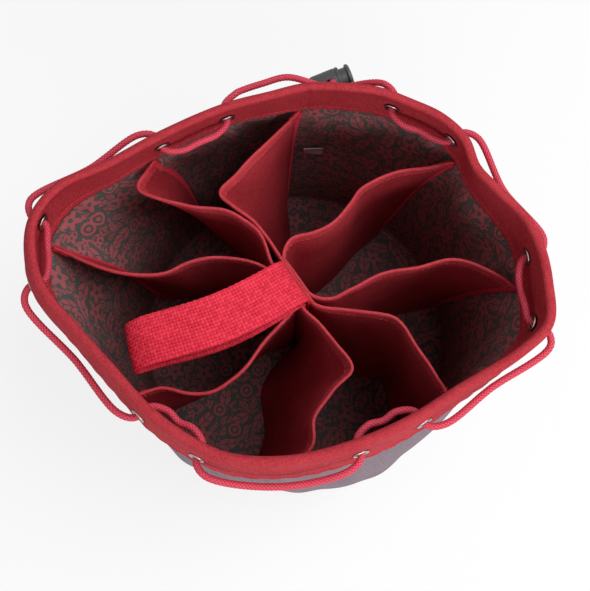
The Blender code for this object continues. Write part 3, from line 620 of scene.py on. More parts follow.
def cord_route():
    place, along, across, upward = lock_frame()
    mouth = LOCK_RADIUS + CORD_PAST_LOCK
    left, right = place + across * CORD_SIDE, place - across * CORD_SIDE
    tail = np.array([0, 0, -TAIL_LENGTH])
    spread = np.array([TAIL_SPREAD, 0, 0])
    out = wall_normals(0.0, EYELET_HEIGHT)
    route = [left + tail + out * 5 - spread, left + tail * 0.62 + out * 7 - spread,
             left + tail * 0.3 + out * 8 - spread / 2]
    route += [left - upward * mouth, left, left + upward * mouth]
    route += [left + upward * (mouth + 4.5) - along * 3.5]
    route += [layer_points(station / WALL_LENGTH, EYELET_HEIGHT - drop, standoff)
              for station, drop, standoff in CORD_FROM_LOCK]
    for k, (eyelet, u) in enumerate(zip(EYELETS, STATIONS)):
        inwards = k % 2 == 0
        centre, face, way = eyelet
        side = 1 if inwards else -1
        route.append(centre - way * CORD_TURN + face * side * CORD_STANDOFF)
        route += crossing(eyelet, inwards)
        route.append(centre + way * CORD_TURN - face * side * CORD_STANDOFF)
        if k + 1 < len(STATIONS):
            standoff, sag = CORD_SPANS[k]
            middle = (u + STATIONS[k + 1]) / 2
            route.append(layer_points(middle, EYELET_HEIGHT - sag, -side * standoff))
    route += [right + upward * (mouth + 6) + along * 9, right + upward * (mouth + 4.5) + along * 3]
    route += [right + upward * mouth, right, right - upward * mouth]
    route += [right + tail * 0.3 + out * 8 + spread / 2, right + tail * 0.62 + out * 7 + spread,
              right + tail + out * 5 + spread]
    return np.array(route)


BRAID_STEP = 0.27
route = cord_route()
fine = np.vstack([*smooth_pieces(route, [CURVE_STEPS] * (len(route) - 1)), route[-1:]])
CORD_LENGTH = length_of(fine)
cord_line = evenly(fine, round(CORD_LENGTH / BRAID_STEP))
print(f"the cord is {CORD_LENGTH:.0f} mm long")

# %% The braid's strands as a relief
BRAID_STRANDS = 6  # each way round
BRAID_TURN = 11.0  # length in which a strand goes once round
BRAID_DEPTH = 0.34
CORNER_REACH = 0.26  # across a strand


def braid_across(distance, share):
    """Where a point lies across the strand that is on top there, from 0 to 1."""
    left = BRAID_STRANDS * (distance / BRAID_TURN + share)
    right = BRAID_STRANDS * (distance / BRAID_TURN - share)
    i, j = np.floor(left), np.floor(right)
    over = np.mod(i + j, 2) < 0.5
    return np.where(over, left - i, right - j)


def braid_relief(distance, share):
    return BRAID_DEPTH * (np.sin(math.pi * braid_across(distance, share)) ** 0.7 - 0.75)


def corner_shade_share(distance, share):
    """1 in the small hollows where four strands meet, which get painted shade, 0 on the strands."""
    left = BRAID_STRANDS * (distance / BRAID_TURN + share)
    right = BRAID_STRANDS * (distance / BRAID_TURN - share)
    away = np.hypot(left - np.rint(left), right - np.rint(right))
    return np.clip(1.6 - away / CORNER_REACH, 0, 1)


def braid_material():
    """Crimson yarn with painted shade where attributes of the mesh mark hollows and corners of
    strands.
    """
    made, tree, shader = new_material("crimson_braid", 0.7)
    place = node(tree, "ShaderNodeUVMap", uv_map="UVMap").outputs["UV"]
    corner = node(tree, "ShaderNodeAttribute", attribute_name="corner").outputs["Fac"]
    braid_hollow_shade = node(tree, "ShaderNodeAttribute", attribute_name="braid_hollow_shade").outputs["Fac"]
    tint = noise(tree, place, 700.0)
    yarn = mixed(tree, tint, (0.84, 0.075, 0.135), (0.66, 0.040, 0.080))
    # Painted shade: the hollows between strands darker red, the corners where four strands meet near
    # black.
    yarn = mixed(tree, braid_hollow_shade, yarn, (0.46, 0.015, 0.038))
    tree.links.new(mixed(tree, corner, yarn, (0.09, 0.003, 0.010)), shader.inputs["Base Color"])
    add_bump(tree, shader, noise(tree, place, 2400.0, 3.0), 0.12)
    return made


crimson_braid = braid_material()


# %% Make the cord
def paint_braid(piece, line):
    """Writes the painted shade of the hollows between strands and of their corners to the mesh as
    attributes.
    """
    mesh = piece.data
    distance = distances(line)
    uv = np.zeros(len(mesh.loops) * 2)
    mesh.uv_layers["UVMap"].data.foreach_get("uv", uv)
    owners = np.zeros(len(mesh.loops), int)
    mesh.loops.foreach_get("vertex_index", owners)
    places = np.zeros((len(mesh.vertices), 2))
    places[owners] = uv.reshape(-1, 2) / MM
    share = places[:, 1] / (TAU * CORD_RADIUS)
    reach = np.clip(places[:, 0], 0, distance[-1])
    braid_hollow_shade = 1 - np.clip(np.sin(math.pi * braid_across(reach, share)) * 1.8, 0, 1)
    for name, values in (("corner", corner_shade_share(reach, share)), ("braid_hollow_shade", braid_hollow_shade)):
        made = mesh.attributes.new(name, "FLOAT", "POINT")
        made.data.foreach_set("value", values.astype(np.float32))


def braided(name, line, radius, around):
    """A braided cord along a line."""
    piece = tube(name, line, radius, around, crimson_braid, relief=braid_relief)
    paint_braid(piece, line)
    return piece


AROUND_CORD = 24
drawcord = braided("drawcord_braid", cord_line, CORD_RADIUS, AROUND_CORD)
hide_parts("drawcord")

# %% [markdown]
# ## The end knots
#
# Each end has one overhand knot, which keeps it from slipping out of the lock. A torus knot with
# three crossings has the same look as a pulled overhand knot, and its path is one short formula.
# A stub of cord comes out below it.

# %% Tie the knots
KNOT_REACH = 2.4
KNOT_SWELL = 1.4
KNOT_HALF_HEIGHT = 2.0
KNOT_CORD_RADIUS = 1.5  # pulled tight, the cord is thinner
STUB_RADIUS = 1.65
STUB_SPAN = (1.0, 13.5)
AROUND_KNOT = 28


def knot_line(end, away):
    """The path of a pulled knot that hangs below the cord's end."""
    centre = end + away * (KNOT_RADIUS + GAP)
    side = unit(np.cross(away, (0.2, 1.0, 0.1)))
    other = np.cross(away, side)
    t = np.linspace(0, TAU, 260)
    ring = KNOT_REACH + KNOT_SWELL * np.cos(3 * t)
    x, y, z = ring * np.cos(2 * t), ring * np.sin(2 * t), KNOT_HALF_HEIGHT * np.sin(3 * t)
    return centre + x[:, None] * side + y[:, None] * other + z[:, None] * away


knots = []
for label, end, before in (("left", cord_line[0], cord_line[12]),
                           ("right", cord_line[-1], cord_line[-12])):
    away = unit(end - before)
    knot = braided(f"cord_knot_{label}_tied", knot_line(end, away), KNOT_CORD_RADIUS, AROUND_KNOT)
    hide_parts(f"cord_knot_{label}")
    stub_line = evenly([end + away * reach for reach in STUB_SPAN], 30)
    knots += [knot, braided(f"cord_stub_{label}", stub_line, STUB_RADIUS, AROUND_KNOT)]

# %% [markdown]
# ## The outer body and the base
#
# The body is one canvas tube. Empty cloth never stays a perfect cylinder: it has shallow upright
# folds that are strongest halfway up and die out at the base and at the stiff band. A sum of a few
# waves with whole numbers of turns gives folds that close on themselves at the back seam.

# %% Shallow folds that all layers share
def folds(u, z):
    """How far the cloth stands out of its plain shape, in millimetres."""
    wave = 0.9 * np.sin(TAU * 7 * u + 2.1 * np.sin(z / 38.0))
    wave += 0.6 * np.sin(TAU * 13 * u + z / 23.0 + 1.0)
    wave += 0.4 * np.sin(TAU * 29 * u - z / 17.0)
    gather = 0.22 * np.sin(TAU * 71 * u + 0.8 * np.sin(TAU * 5 * u)) * bell(z - 143, 7)
    return wave * within(z, 8, 40.0, 122, 26.0) + gather


SEAM_WIDTH = 0.9
BODY_SEAM_DEPTH = 0.45
BAND_SEAM_DEPTH = 0.8


def way_from(u, station):
    """Millimetres round the wall from a station, negative on its near side."""
    return (np.mod(u - station + 0.5, 1.0) - 0.5) * WALL_LENGTH


def seam_groove(u, depth):
    """The cloth dips along the back seam."""
    return -depth * bell(way_from(u, 0.0), SEAM_WIDTH)


# %% Make the body
AROUND = 480
BODY_ROWS = 84
WALL_CLIMB = WALL_TOP - CLOTH_FLOOR


def rising_height(share):
    """Heights from the floor to the wall's top edge, close together at the rounded corner."""
    return CLOTH_FLOOR + WALL_CLIMB * share**1.5


def body_place(a, b):
    z = rising_height(b)
    return layer_points(a, z, BODY_MIDDLE + folds(a, z) + seam_groove(a, BODY_SEAM_DEPTH))


bm = merged(laid_grid(AROUND, BODY_ROWS, (WALL_LENGTH, WALL_CLIMB), body_place))
body = thicken(add_piece("outer_body_canvas", bm, mauve_canvas), CANVAS)
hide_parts(*(f"outer_body_panel_{number}" for number in range(1, EYELET_PAIRS + 1)))


# %% Make the base
BASE_SHARE = 0.999  # of the wall's own reach


def disc_place(radius_share, height, ripple):
    def place(a, b):
        edge = wall_points(a, np.full_like(a, CLOTH_FLOOR))
        reach = (radius_share * b)[:, None]
        middle = np.array([*BASE_MIDDLE, 0.0])
        flat = middle + (edge - middle) * reach
        angle = TAU * a
        lift = ripple * (np.sin(3 * angle + 5 * b) + 0.6 * np.sin(7 * angle - 9 * b)) * b * (1 - b**6)
        flat[:, 2] = height + lift
        return flat
    return place


base = merged(laid_grid(160, 24, (WALL_LENGTH, BASE_RADIUS), disc_place(BASE_SHARE, BODY_MIDDLE, 0.0)))
base = thicken(add_piece("outer_base_canvas", base, mauve_canvas), CANVAS)
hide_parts("outer_base")

# %% [markdown]
# ## The printed lining
#
# The lining is thin cotton with a dense print in a muted red on dark olive. The print here is a
# generic one of leaves, flower heads and rings. Each motif is drawn in a cell of a Voronoi pattern:
# the cell gives the motif its own centre and its own turn, and plain arithmetic draws its outline.

# %% The motifs' sizes, as shares of a motif's own size
LEAF_HALF = 0.42
LEAF_MIDRIB = 0.045
LEAF_VEINS = 9.0
VEIN_EDGE = -0.82
PETALS = 5.0
PETAL_DEPTH = 0.20
FLOWER_RADIUS = 0.55
FLOWER_EYE = 0.17
RING_RADIUS = 0.42
RING_HALF = 0.09
RING_DOT = 0.16
MOTIF_REACH = 0.72
LEAVES_BELOW = 0.55  # a cell's random value picks its motif
RINGS_ABOVE = 0.82


# %% The print as a node group
def make_print_group():
    group, given, result = group_with(
        "leaf_print",
        [("Place", "NodeSocketVector"), ("Cells", "NodeSocketFloat"), ("Size", "NodeSocketFloat")],
        [("Mask", "NodeSocketFloat"), ("Near", "NodeSocketFloat")],
    )
    calc, link = partial(math_node, group), group.links.new
    place = given.outputs["Place"]
    cells = node(group, "ShaderNodeTexVoronoi", voronoi_dimensions="2D", inputs={
        "Vector": place, "Scale": given.outputs["Cells"], "Randomness": 0.75})
    local = node(group, "ShaderNodeVectorMath", {0: place, 1: cells.outputs["Position"]},
                 operation="SUBTRACT")
    random = node(group, "ShaderNodeSeparateColor", {0: cells.outputs["Color"]})
    turn = node(group, "ShaderNodeVectorRotate", rotation_type="Z_AXIS", inputs={
        "Vector": local.outputs[0], "Angle": calc("MULTIPLY", random.outputs[0], TAU)})
    size = node(group, "ShaderNodeCombineXYZ", {k: given.outputs["Size"] for k in range(3)})
    motif = node(group, "ShaderNodeVectorMath", {0: turn.outputs[0], 1: size.outputs[0]},
                 operation="DIVIDE")
    split = node(group, "ShaderNodeSeparateXYZ", {0: motif.outputs[0]})
    x, y = split.outputs["X"], split.outputs["Y"]
    x_square = calc("MULTIPLY", x, x)
    radius = calc("SQRT", calc("ADD", x_square, calc("MULTIPLY", y, y)))
    # A leaf: a pointed oval with a midrib and slanted veins left dark
    high = calc("ABSOLUTE", y)
    leaf = calc("LESS_THAN", high, calc("MULTIPLY_ADD", x_square, -LEAF_HALF, LEAF_HALF))
    leaf = calc("MULTIPLY", leaf, calc("GREATER_THAN", high, LEAF_MIDRIB))
    slant = calc("SUBTRACT", calc("MULTIPLY", x, LEAF_VEINS), calc("MULTIPLY", high, LEAF_VEINS))
    leaf = calc("MULTIPLY", leaf, calc("GREATER_THAN", calc("SINE", slant), VEIN_EDGE))
    # A flower head: five petals round an open eye
    petal = calc("COSINE", calc("MULTIPLY", calc("ARCTAN2", y, x), PETALS))
    flower = calc("LESS_THAN", radius, calc("MULTIPLY_ADD", petal, PETAL_DEPTH, FLOWER_RADIUS))
    flower = calc("MULTIPLY", flower, calc("GREATER_THAN", radius, FLOWER_EYE))
    # A ring with a dot
    ring = calc("LESS_THAN", calc("ABSOLUTE", calc("SUBTRACT", radius, RING_RADIUS)), RING_HALF)
    ring = calc("MAXIMUM", ring, calc("LESS_THAN", radius, RING_DOT))
    is_leaf = calc("LESS_THAN", random.outputs[1], LEAVES_BELOW)
    is_ring = calc("GREATER_THAN", random.outputs[1], RINGS_ABOVE)
    is_flower = calc("SUBTRACT", calc("SUBTRACT", 1.0, is_leaf), is_ring)
    picked = ((leaf, is_leaf), (flower, is_flower), (ring, is_ring))
    drawn = [calc("MULTIPLY", *pair) for pair in picked]
    link(calc("ADD", calc("ADD", drawn[0], drawn[1]), drawn[2]), result.inputs["Mask"])
    link(calc("LESS_THAN", radius, MOTIF_REACH), result.inputs["Near"])
    return group


PRINT = make_print_group()

# %% The lining's finish
LINING_PITCH = 0.35
# Each layer: its cells to a metre, its motifs' size in millimetres, and its shift
PRINT_LAYERS = [(74.0, 8.2, 0.0), (135.0, 4.4, 0.37), (250.0, 2.3, 0.71)]


def lining_material():
    """Dark olive cotton with three sizes of the print, the smaller ones between the larger."""
    made, tree, shader = new_material("printed_lining", 0.8)
    calc, link = partial(math_node, tree), tree.links.new
    place, height, tone = weave_nodes(tree, LINING_PITCH)
    mask = free = None
    for cells, size, shift in PRINT_LAYERS:
        moved = node(tree, "ShaderNodeMapping", {"Vector": place, "Location": (shift, shift * 0.6, 0)})
        drawn = node(tree, "ShaderNodeGroup", node_tree=PRINT, inputs={
            "Place": moved.outputs[0], "Cells": cells, "Size": size * MM})
        here, bare = drawn.outputs["Mask"], calc("SUBTRACT", 1.0, drawn.outputs["Near"])
        mask = here if mask is None else calc("MULTIPLY_ADD", here, free, mask)
        free = bare if free is None else calc("MULTIPLY", free, bare)
    mask = calc("MULTIPLY", mask, calc("MULTIPLY_ADD", noise(tree, place, 40.0), 0.4, 0.65))
    ground = mixed(tree, tone, (0.076, 0.077, 0.070), (0.126, 0.127, 0.116))
    link(mixed(tree, mask, ground, (0.50, 0.115, 0.135)), shader.inputs["Base Color"])
    shader.inputs["Specular IOR Level"].default_value = 0.3
    add_bump(tree, shader, height, 0.06)
    return made


printed_lining = lining_material()


# %% Make the lining
def lining_creases(u, z):
    """Soft puckers that only ever lead inwards, away from the canvas behind."""
    crease = 0.5 + 0.5 * np.sin(TAU * 17 * u + z / 21.0 + 1.7 * np.sin(z / 45.0))
    fine_crease = 0.5 + 0.5 * np.sin(TAU * 41 * u - z / 15.0)
    grows = within(z, 12, 40.0, 128, 18.0)
    pleat = 0.5 + 0.5 * np.sin(TAU * 37 * u + 2.2 * np.sin(TAU * 6 * u) + z / 12.0)
    gathered = within(z, 100, 20.0, 138, 7.0)
    return -(1.3 * crease**3 + 0.5 * fine_crease**2) * grows - 1.1 * pleat**5 * gathered


def lining_place(a, b):
    z = rising_height(b)
    return layer_points(a, z, LINING_MIDDLE + folds(a, z) + lining_creases(a, z))


bm = merged(laid_grid(AROUND, BODY_ROWS, (WALL_LENGTH, WALL_CLIMB), lining_place))
lining = thicken(add_piece("lining_wall_print", bm, printed_lining), LINING)
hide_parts("lining_wall")

# The floor's edge is tucked under the wall's, so that no light comes in between them
FLOOR_SHARE = 1.012
FLOOR_TUCK = 0.2
FLOOR_RIPPLE = 0.25
LINING_FLOOR = CLOTH_FLOOR - LINING_MIDDLE - FLOOR_TUCK
floor_place = disc_place(FLOOR_SHARE, LINING_FLOOR, FLOOR_RIPPLE)
bm = merged(laid_grid(200, 60, (WALL_LENGTH, BASE_RADIUS), floor_place))
# A disc's map comes from its places seen from above, so that the print isn't stretched
floor_map = bm.loops.layers.uv["UVMap"]
for face in bm.faces:
    for corner in face.loops:
        corner[floor_map].uv = corner.vert.co.xy * MM
floor_cloth = thicken(add_piece("lining_floor_print", bm, printed_lining), LINING)
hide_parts("lining_base")

# %% [markdown]
# ## The red band
#
# The band is one canvas strip folded over the top edge, so it shows outside and inside. Its section
# is a narrow upside-down U. Both lower edges are turned under and stitched, which leaves a thick
# hem with a shallow valley along the stitches. The holes for the eyelets are cut by taking out the
# faces inside each flange, because the metal covers their edges.

# %% The band's section
HEM_HEIGHT = 4.0
HEM_THICKER = 0.38
HEM_VALLEY = 0.28
PRESSED_IN = 0.35
PRESSED_RING = 0.3
BAND_SIDE_REACH = (BAND_OUTSIDE_MIDDLE - BAND_INSIDE_MIDDLE) / 2
BAND_CENTRE = (BAND_OUTSIDE_MIDDLE + BAND_INSIDE_MIDDLE) / 2
FOLD_HEIGHT = HEIGHT - BAND_SIDE_REACH - CANVAS / 2


def band_section():
    """Places along the band's section from its outer hem over the fold to its inner hem."""
    outside = [(BAND_OUTSIDE_MIDDLE, z) for z in np.linspace(BAND_BOTTOM, FOLD_HEIGHT, 26)]
    turns = np.radians(np.linspace(0, 180, 11)[1:-1])
    fold = [(BAND_CENTRE + BAND_SIDE_REACH * math.cos(t), FOLD_HEIGHT + BAND_SIDE_REACH * math.sin(t))
            for t in turns]
    inside = [(BAND_INSIDE_MIDDLE, z) for z in np.linspace(FOLD_HEIGHT, BAND_BOTTOM, 26)]
    return np.array(outside + fold + inside)


SECTION = band_section()
BAND_ROWS = len(SECTION) - 1
BAND_CLOTH = length_of(SECTION)


def hem_swell(z):
    """The turned-under hem is thicker, and the cloth dips where it is stitched."""
    above = z - BAND_BOTTOM
    hem = HEM_THICKER * ease(above / 0.8) * (1 - ease((above - HEM_HEIGHT + 0.8) / 0.9))
    return hem - HEM_VALLEY * bell(above - HEM_HEIGHT, 0.7)


def eyelet_press(u, z):
    """The cloth is pressed in a little under each flange."""
    pressed = np.zeros_like(u)
    for station in STATIONS:
        away = np.hypot(way_from(u, station), z - EYELET_HEIGHT)
        pressed -= PRESSED_IN * bell(away, EYELET_FLAT, 4)
        pressed += PRESSED_RING * bell(away - EYELET_FLAT - 2.0, 2.5)
    return pressed


def rim_waver(u):
    """The top edge is never quite level."""
    return 0.7 * np.sin(TAU * 3 * u + 0.6) + 0.45 * np.sin(TAU * 8 * u + 2.0)


def band_place(a, b):
    i = np.rint(b * BAND_ROWS).astype(int)
    offset, z = SECTION[i, 0], SECTION[i, 1]
    side = np.clip((offset - BAND_CENTRE) / BAND_SIDE_REACH, -1, 1)
    swell = side * (hem_swell(z) + eyelet_press(a, z) + seam_groove(a, BAND_SEAM_DEPTH))
    slack = 0.5 * np.sin(TAU * 19 * a + z / 9.0) * ease((170 - z) / 12.0) * ease((z - 146) / 8.0)
    points = layer_points(a, z, offset + swell + folds(a, z) + slack * 0.4)
    points[:, 2] += rim_waver(a) * ease((z - 168) / 12.0)
    return points


# %% Cut the eyelet holes and make the band
HOLE_CUT = EYELET_HOLE_RADIUS + EYELET_WALL + 0.4


def inside_an_eyelet(point):
    for centre, out, along in EYELETS:
        away = np.array(point) - centre
        depth = float(np.dot(away, out))
        if abs(depth) < 6 and np.linalg.norm(away - out * depth) < HOLE_CUT:
            return True
    return False


bm = merged(laid_grid(AROUND, BAND_ROWS, (WALL_LENGTH, BAND_CLOTH), band_place))
near = [f for f in bm.faces if abs(f.calc_center_median().z - EYELET_HEIGHT) < HOLE_CUT + 1]
holes = [f for f in near if inside_an_eyelet(f.calc_center_median())]
bmesh.ops.delete(bm, geom=holes, context="FACES")
band = thicken(add_piece("rim_band_canvas", bm, red_canvas), CANVAS)
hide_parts("rim_band")


# %% [markdown]
# ## Stitches
#
# A seam reads as a seam when its stitches are real: short raised threads with small gaps. One
# stitch is a small round form pulled long, and one mesh holds a whole row of them. Each stitch has
# only twenty faces, because there are hundreds.

# %% Sew a row of stitches
STITCH = 2.6
STITCH_GAP = 0.7
STITCH_START = 0.4
THREAD_RADIUS = 0.26
THREAD_SUNK = 0.15


def stitch_row(name, line, faces_out):
    """A row of stitches along a line. faces_out holds the cloth's outward direction at each point."""
    line, faces_out = np.array(line, float), np.array(faces_out, float)
    along = distances(line)
    starts = np.arange(STITCH_START, along[-1] - STITCH, STITCH + STITCH_GAP)

    def at(distance, values):
        return np.array([np.interp(distance, along, values[:, k]) for k in range(3)])

    bm = bmesh.new()
    for start in starts:
        first, last = at(start, line), at(start + STITCH, line)
        out = unit(at(start + STITCH / 2, faces_out))
        way = unit(last - first)
        side = unit(np.cross(out, way))
        out = np.cross(way, side)
        turn = Matrix([way, side, out]).transposed().to_4x4()
        place = Matrix.Translation(Vector((first + last) / 2)) @ turn
        shape = Matrix.Diagonal((np.linalg.norm(last - first) / 2, THREAD_RADIUS, THREAD_RADIUS, 1))
        bmesh.ops.create_icosphere(bm, subdivisions=1, radius=1.0, matrix=place @ shape,
                                   calc_uvs=False)
    bm.loops.layers.uv.new("UVMap")
    made = add_piece(name, bm, red_thread)
    return made


# %% The band's two seams
def ring_line(z, offset):
    u = np.linspace(0, 1, 2 * AROUND)
    height = np.full_like(u, z)
    return layer_points(u, height, offset + folds(u, height)), wall_normals(u, height)


seam_height = BAND_BOTTOM + HEM_HEIGHT
line, out = ring_line(seam_height, BAND_OUTSIDE_OUT - THREAD_SUNK)
stitch_row("band_seam_outside", line, out)
line, out = ring_line(seam_height, BAND_INSIDE_IN + THREAD_SUNK)
stitch_row("band_seam_inside", line, -out)

# %% [markdown]
# ## The eyelets
#
# An eyelet is a rolled ring on the outside and a flat washer inside, joined by a thin tube through
# the cloth. One closed section is spun round the eyelet's own axis, so both rings and the tube are
# a single lathe-like form.

# %% Nickel
nickel, tree, shader, place = mottled_material(
    "nickel", 0.28, 1.0, 900.0, 3.0, (0.50, 0.47, 0.43), (0.34, 0.32, 0.30))
uneven_roughness(tree, shader, place, 2200.0, 0.18)


# %% Spin the eyelets
AROUND_EYELET = 48
FLANGE_SEAT = 0.05  # between the metal and the cloth


def eyelet_section():
    """Radius and height of the ring's section: a rolled outer ring, the tube, a flat washer."""
    hole, tube_out, flange = EYELET_HOLE_RADIUS, EYELET_HOLE_RADIUS + EYELET_WALL, EYELET_FLANGE_RADIUS
    front_under = BAND_OUTSIDE_OUT + FLANGE_SEAT
    back_under = BAND_INSIDE_IN - FLANGE_SEAT
    front, back = BAND_OUTSIDE_OUT + GAP + EYELET_FLANGE, BAND_INSIDE_IN - GAP - EYELET_FLANGE
    roll = [(hole + 0.1, front - 0.2), (hole + 0.35, front), (flange - 0.5, front - 0.05),
            (flange - 0.15, front - 0.2), (flange, front_under + 0.3), (flange - 0.1, front_under)]
    washer = [(flange - 0.1, back_under), (flange, back_under - 0.3), (flange - 0.2, back + 0.1),
              (hole + 0.4, back), (hole + 0.1, back + 0.15)]
    return [(hole, back + 0.5), (hole, front - 0.5), *roll, (tube_out, front_under),
            (tube_out, back_under), *washer]


def spun(bm, section, centre, axis, spoke, steps):
    """Spins a closed section of (radius, height) round an axis."""
    loop = [bm.verts.new(centre + spoke * r + axis * h) for r, h in section]
    edges = [bm.edges.new((loop[i - 1], loop[i])) for i in range(len(loop))]
    bmesh.ops.spin(bm, geom=[*loop, *edges], cent=centre, axis=axis, angle=TAU, steps=steps,
                   use_merge=True, use_duplicate=False)
    merged(bm)
    bmesh.ops.recalc_face_normals(bm, faces=bm.faces)
    return bm


for number, (centre, out, along) in enumerate(EYELETS, 1):
    bm = spun(bmesh.new(), eyelet_section(), centre, out, along, AROUND_EYELET)
    ring = add_piece(f"eyelet_{number:02d}_ring", bm, nickel)
    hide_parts(f"eyelet_{number:02d}")

# %% [markdown]
# ## The pocket strips
#
# Four canvas strips stand on the lining's floor. Each runs from the wall to a spine in the middle
# and back to the wall, so four strips make eight pockets. A strip is ruled between a line at the
# floor and a line at its top edge. Its top edge is folded over as a hem, and its two short ends are
# overlocked, which is a thread that loops round the raw edge.

# %% Lines of the strips, seen from above
SPINE_TOP = (-1.0, 1.5)
SPINE_FLOOR = (-1.5, 10.0)
SPINE_DIRECTION = (-0.571, 0.821)
SPINE_HALF = 14.0
SPINE_SHORT = 8.0
DIVIDER_BELOW_BAND = 1.5
DIVIDER_TOP = BAND_BOTTOM - DIVIDER_BELOW_BAND
ARM_BACK_LEFT = {
    "top": [(-76, 73), (-84, 57), (-72, 50), (-57, 47), (-37, 43), (-27, 37), (-20, 30)],
    "floor": [(-62, 84), (-45, 70), (-39, 62), (-22, 40)],
}
ARM_BACK = {
    "top": [(3, 99), (-15, 81), (-30, 64), (-39, 52), (-32, 46), (-22, 38), (-15, 29)],
    "floor": [(-7, 100), (-4, 76), (-5, 48)],
}
ARM_BACK_RIGHT = {
    "top": [(83, 68), (53, 64), (35, 55), (29, 46), (20, 36), (9, 29), (-2, 25)],
    "floor": [(60, 82), (45, 68), (24, 44), (4, 28)],
}
ARM_RIGHT = {
    "top": [(107, -1), (98, 8), (79, 14), (60, 10), (43, 6), (30, -1), (19, -6)],
    "floor": [(99, 28), (60, 18), (28, 6)],
}
ARM_FRONT_RIGHT = {
    "top": [(75, -56), (72, -47), (62, -30), (51, -17), (43, -14), (24, -12)],
    "floor": [(80, -62), (68, -50), (62, -30), (40, -22), (20, -8)],
}
ARM_FRONT = {
    "top": [(-5, -88), (8, -77), (10, -65), (19, -54), (29, -42), (21, -30), (12, -19)],
    "floor": [(-30, -96), (-21, -66), (-22, -32), (-6, -8)],
}
ARM_FRONT_LEFT = {
    "top": [(-74, -50), (-62, -47), (-49, -50), (-38, -50), (-29, -45), (-21, -38), (-7, -20)],
    "floor": [(-87, -50), (-50, -30), (-22, -8)],
}
ARM_LEFT = {
    "top": [(-120, 21), (-97, 12), (-74, 6), (-64, 7), (-54, 12), (-40, 15), (-23, 14)],
    "floor": [(-100, 35), (-65, 34), (-38, 30), (-20, 20)],
}


def spine_point(height_share, along, across):
    x, y = (1 - height_share) * np.array(SPINE_FLOOR) + height_share * np.array(SPINE_TOP)
    back = unit(SPINE_DIRECTION)
    right = np.array([back[1], -back[0]])
    return np.array([x, y]) + back * along + right * across


# %% The surface of a strip
ARM_COLUMNS = 90
SPINE_COLUMNS = 12
STRIP_ROWS = 60
STRIP_FLOOR = FLOOR_TOP + GAP
WALL_CLEAR = GAP + CANVAS - LINING_IN


def nearest_round(point, z):
    shares = np.linspace(0, 1, 2 * RIM_STEPS + 1)
    away = np.linalg.norm(wall_points(shares, z)[:, :2] - np.array(point), axis=1)
    return shares[int(np.argmin(away))]


def strip_line(arms, ends, across, level):
    """A strip seen from above, wall to spine to wall: level is top or floor."""
    share = 1.0 if level == "top" else 0.0
    first = [np.array(p, float) for p in arms[0][level]]
    second = [np.array(p, float) for p in reversed(arms[1][level])]
    spine = [spine_point(share, ends[0], across), spine_point(share, ends[1], across)]
    pieces = smooth_pieces([*first, *spine, *second], [16] * (len(first) + len(second) + 1))
    split = len(first)
    one = evenly(np.vstack([*pieces[:split], spine[0][None]]), ARM_COLUMNS + 1)
    two = evenly(np.vstack([*pieces[split + 1 :], second[-1][None]]), ARM_COLUMNS + 1)
    middle = evenly(spine, SPINE_COLUMNS + 1)
    return np.vstack([one, middle[1:-1], two])


def strip_grid(arms, ends, across):
    """Points of a strip's middle: one row of columns for each height."""
    top, floor = (strip_line(arms, ends, across, level) for level in ("top", "floor"))
    z = np.linspace(STRIP_FLOOR, DIVIDER_TOP, STRIP_ROWS + 1)
    share = ((z - STRIP_FLOOR) / (DIVIDER_TOP - STRIP_FLOOR))[None, :, None]
    grid = np.zeros((len(top), len(z), 3))
    grid[:, :, :2] = (1 - share) * floor[:, None] + share * top[:, None]
    grid[:, :, 2] = z
    fade = (1 - np.arange(ARM_COLUMNS) / ARM_COLUMNS) ** 2
    for arm, end, inward in ((arms[0], 0, 1), (arms[1], -1, -1)):
        low = nearest_round(arm["floor"][0], CLOTH_FLOOR + BASE_CORNER)
        high = nearest_round(arm["top"][0], DIVIDER_TOP)
        low -= round(low - high)
        u = (1 - share[0, :, 0]) * low + share[0, :, 0] * high
        anchor = wall_points(u, np.maximum(z, CLOTH_FLOOR + BASE_CORNER))
        anchor -= wall_normals(u, DIVIDER_TOP) * WALL_CLEAR
        corner = BASE_CORNER * ease((STRIP_FLOOR + BASE_CORNER - z) / BASE_CORNER)
        anchor -= wall_normals(u, DIVIDER_TOP) * corner[:, None]
        shift = anchor[:, :2] - grid[end, :, :2]
        columns = end + inward * np.arange(ARM_COLUMNS)
        grid[columns, :, :2] += fade[:, None, None] * shift[None]
    return grid


def slack(grid, seed):
    """Bends a strip's cloth a little between its sewn places, which stay where they are."""
    columns, rows = grid.shape[:2]
    a, b = np.meshgrid(np.linspace(0, 1, columns), np.linspace(0, 1, rows), indexing="ij")
    arm = 2 * np.abs(a - 0.5)
    free = ease(arm / 0.25) * ease((1 - arm) / 0.12) * ease(b / 0.25)
    wave = 1.3 * np.sin(11 * a + 2.6 * b + seed) + 0.7 * np.sin(23 * a - 4.1 * b + 2 * seed)
    wave += 0.35 * np.sin(47 * a + 7.0 * b + 3 * seed) * b
    normal = grid_normals(grid)
    bent = grid + normal * (wave * free * 0.8)[..., None]
    bent[..., 2] += 0.5 * np.sin(17 * a + seed) * ease((b - 0.7) / 0.3) * ease(arm / 0.25)
    return bent


def grid_normals(grid):
    normal = np.cross(np.gradient(grid, axis=0), np.gradient(grid, axis=1))
    return normal / np.linalg.norm(normal, axis=2, keepdims=True)


# %% Hems and overlocked ends
STRIP_CORE = 0.7
HEM_CLOTH = 0.4
HEM_DEPTH = 8.0
HEM_OFFSET = 0.42
HEM_ROLL = 0.35  # how far the fold's roll stands out under the top edge


def strip_piece(name, grid, finish):
    """The strip's own cloth, laid from its grid of points."""
    columns, rows = grid.shape[0] - 1, grid.shape[1] - 1
    size = (length_of(grid[:, -1]), DIVIDER_TOP - STRIP_FLOOR)

    def place(a, b):
        return grid[np.rint(a * columns).astype(int), np.rint(b * rows).astype(int)]

    return thicken(add_piece(name, laid_grid(columns, rows, size, place), finish), STRIP_CORE)


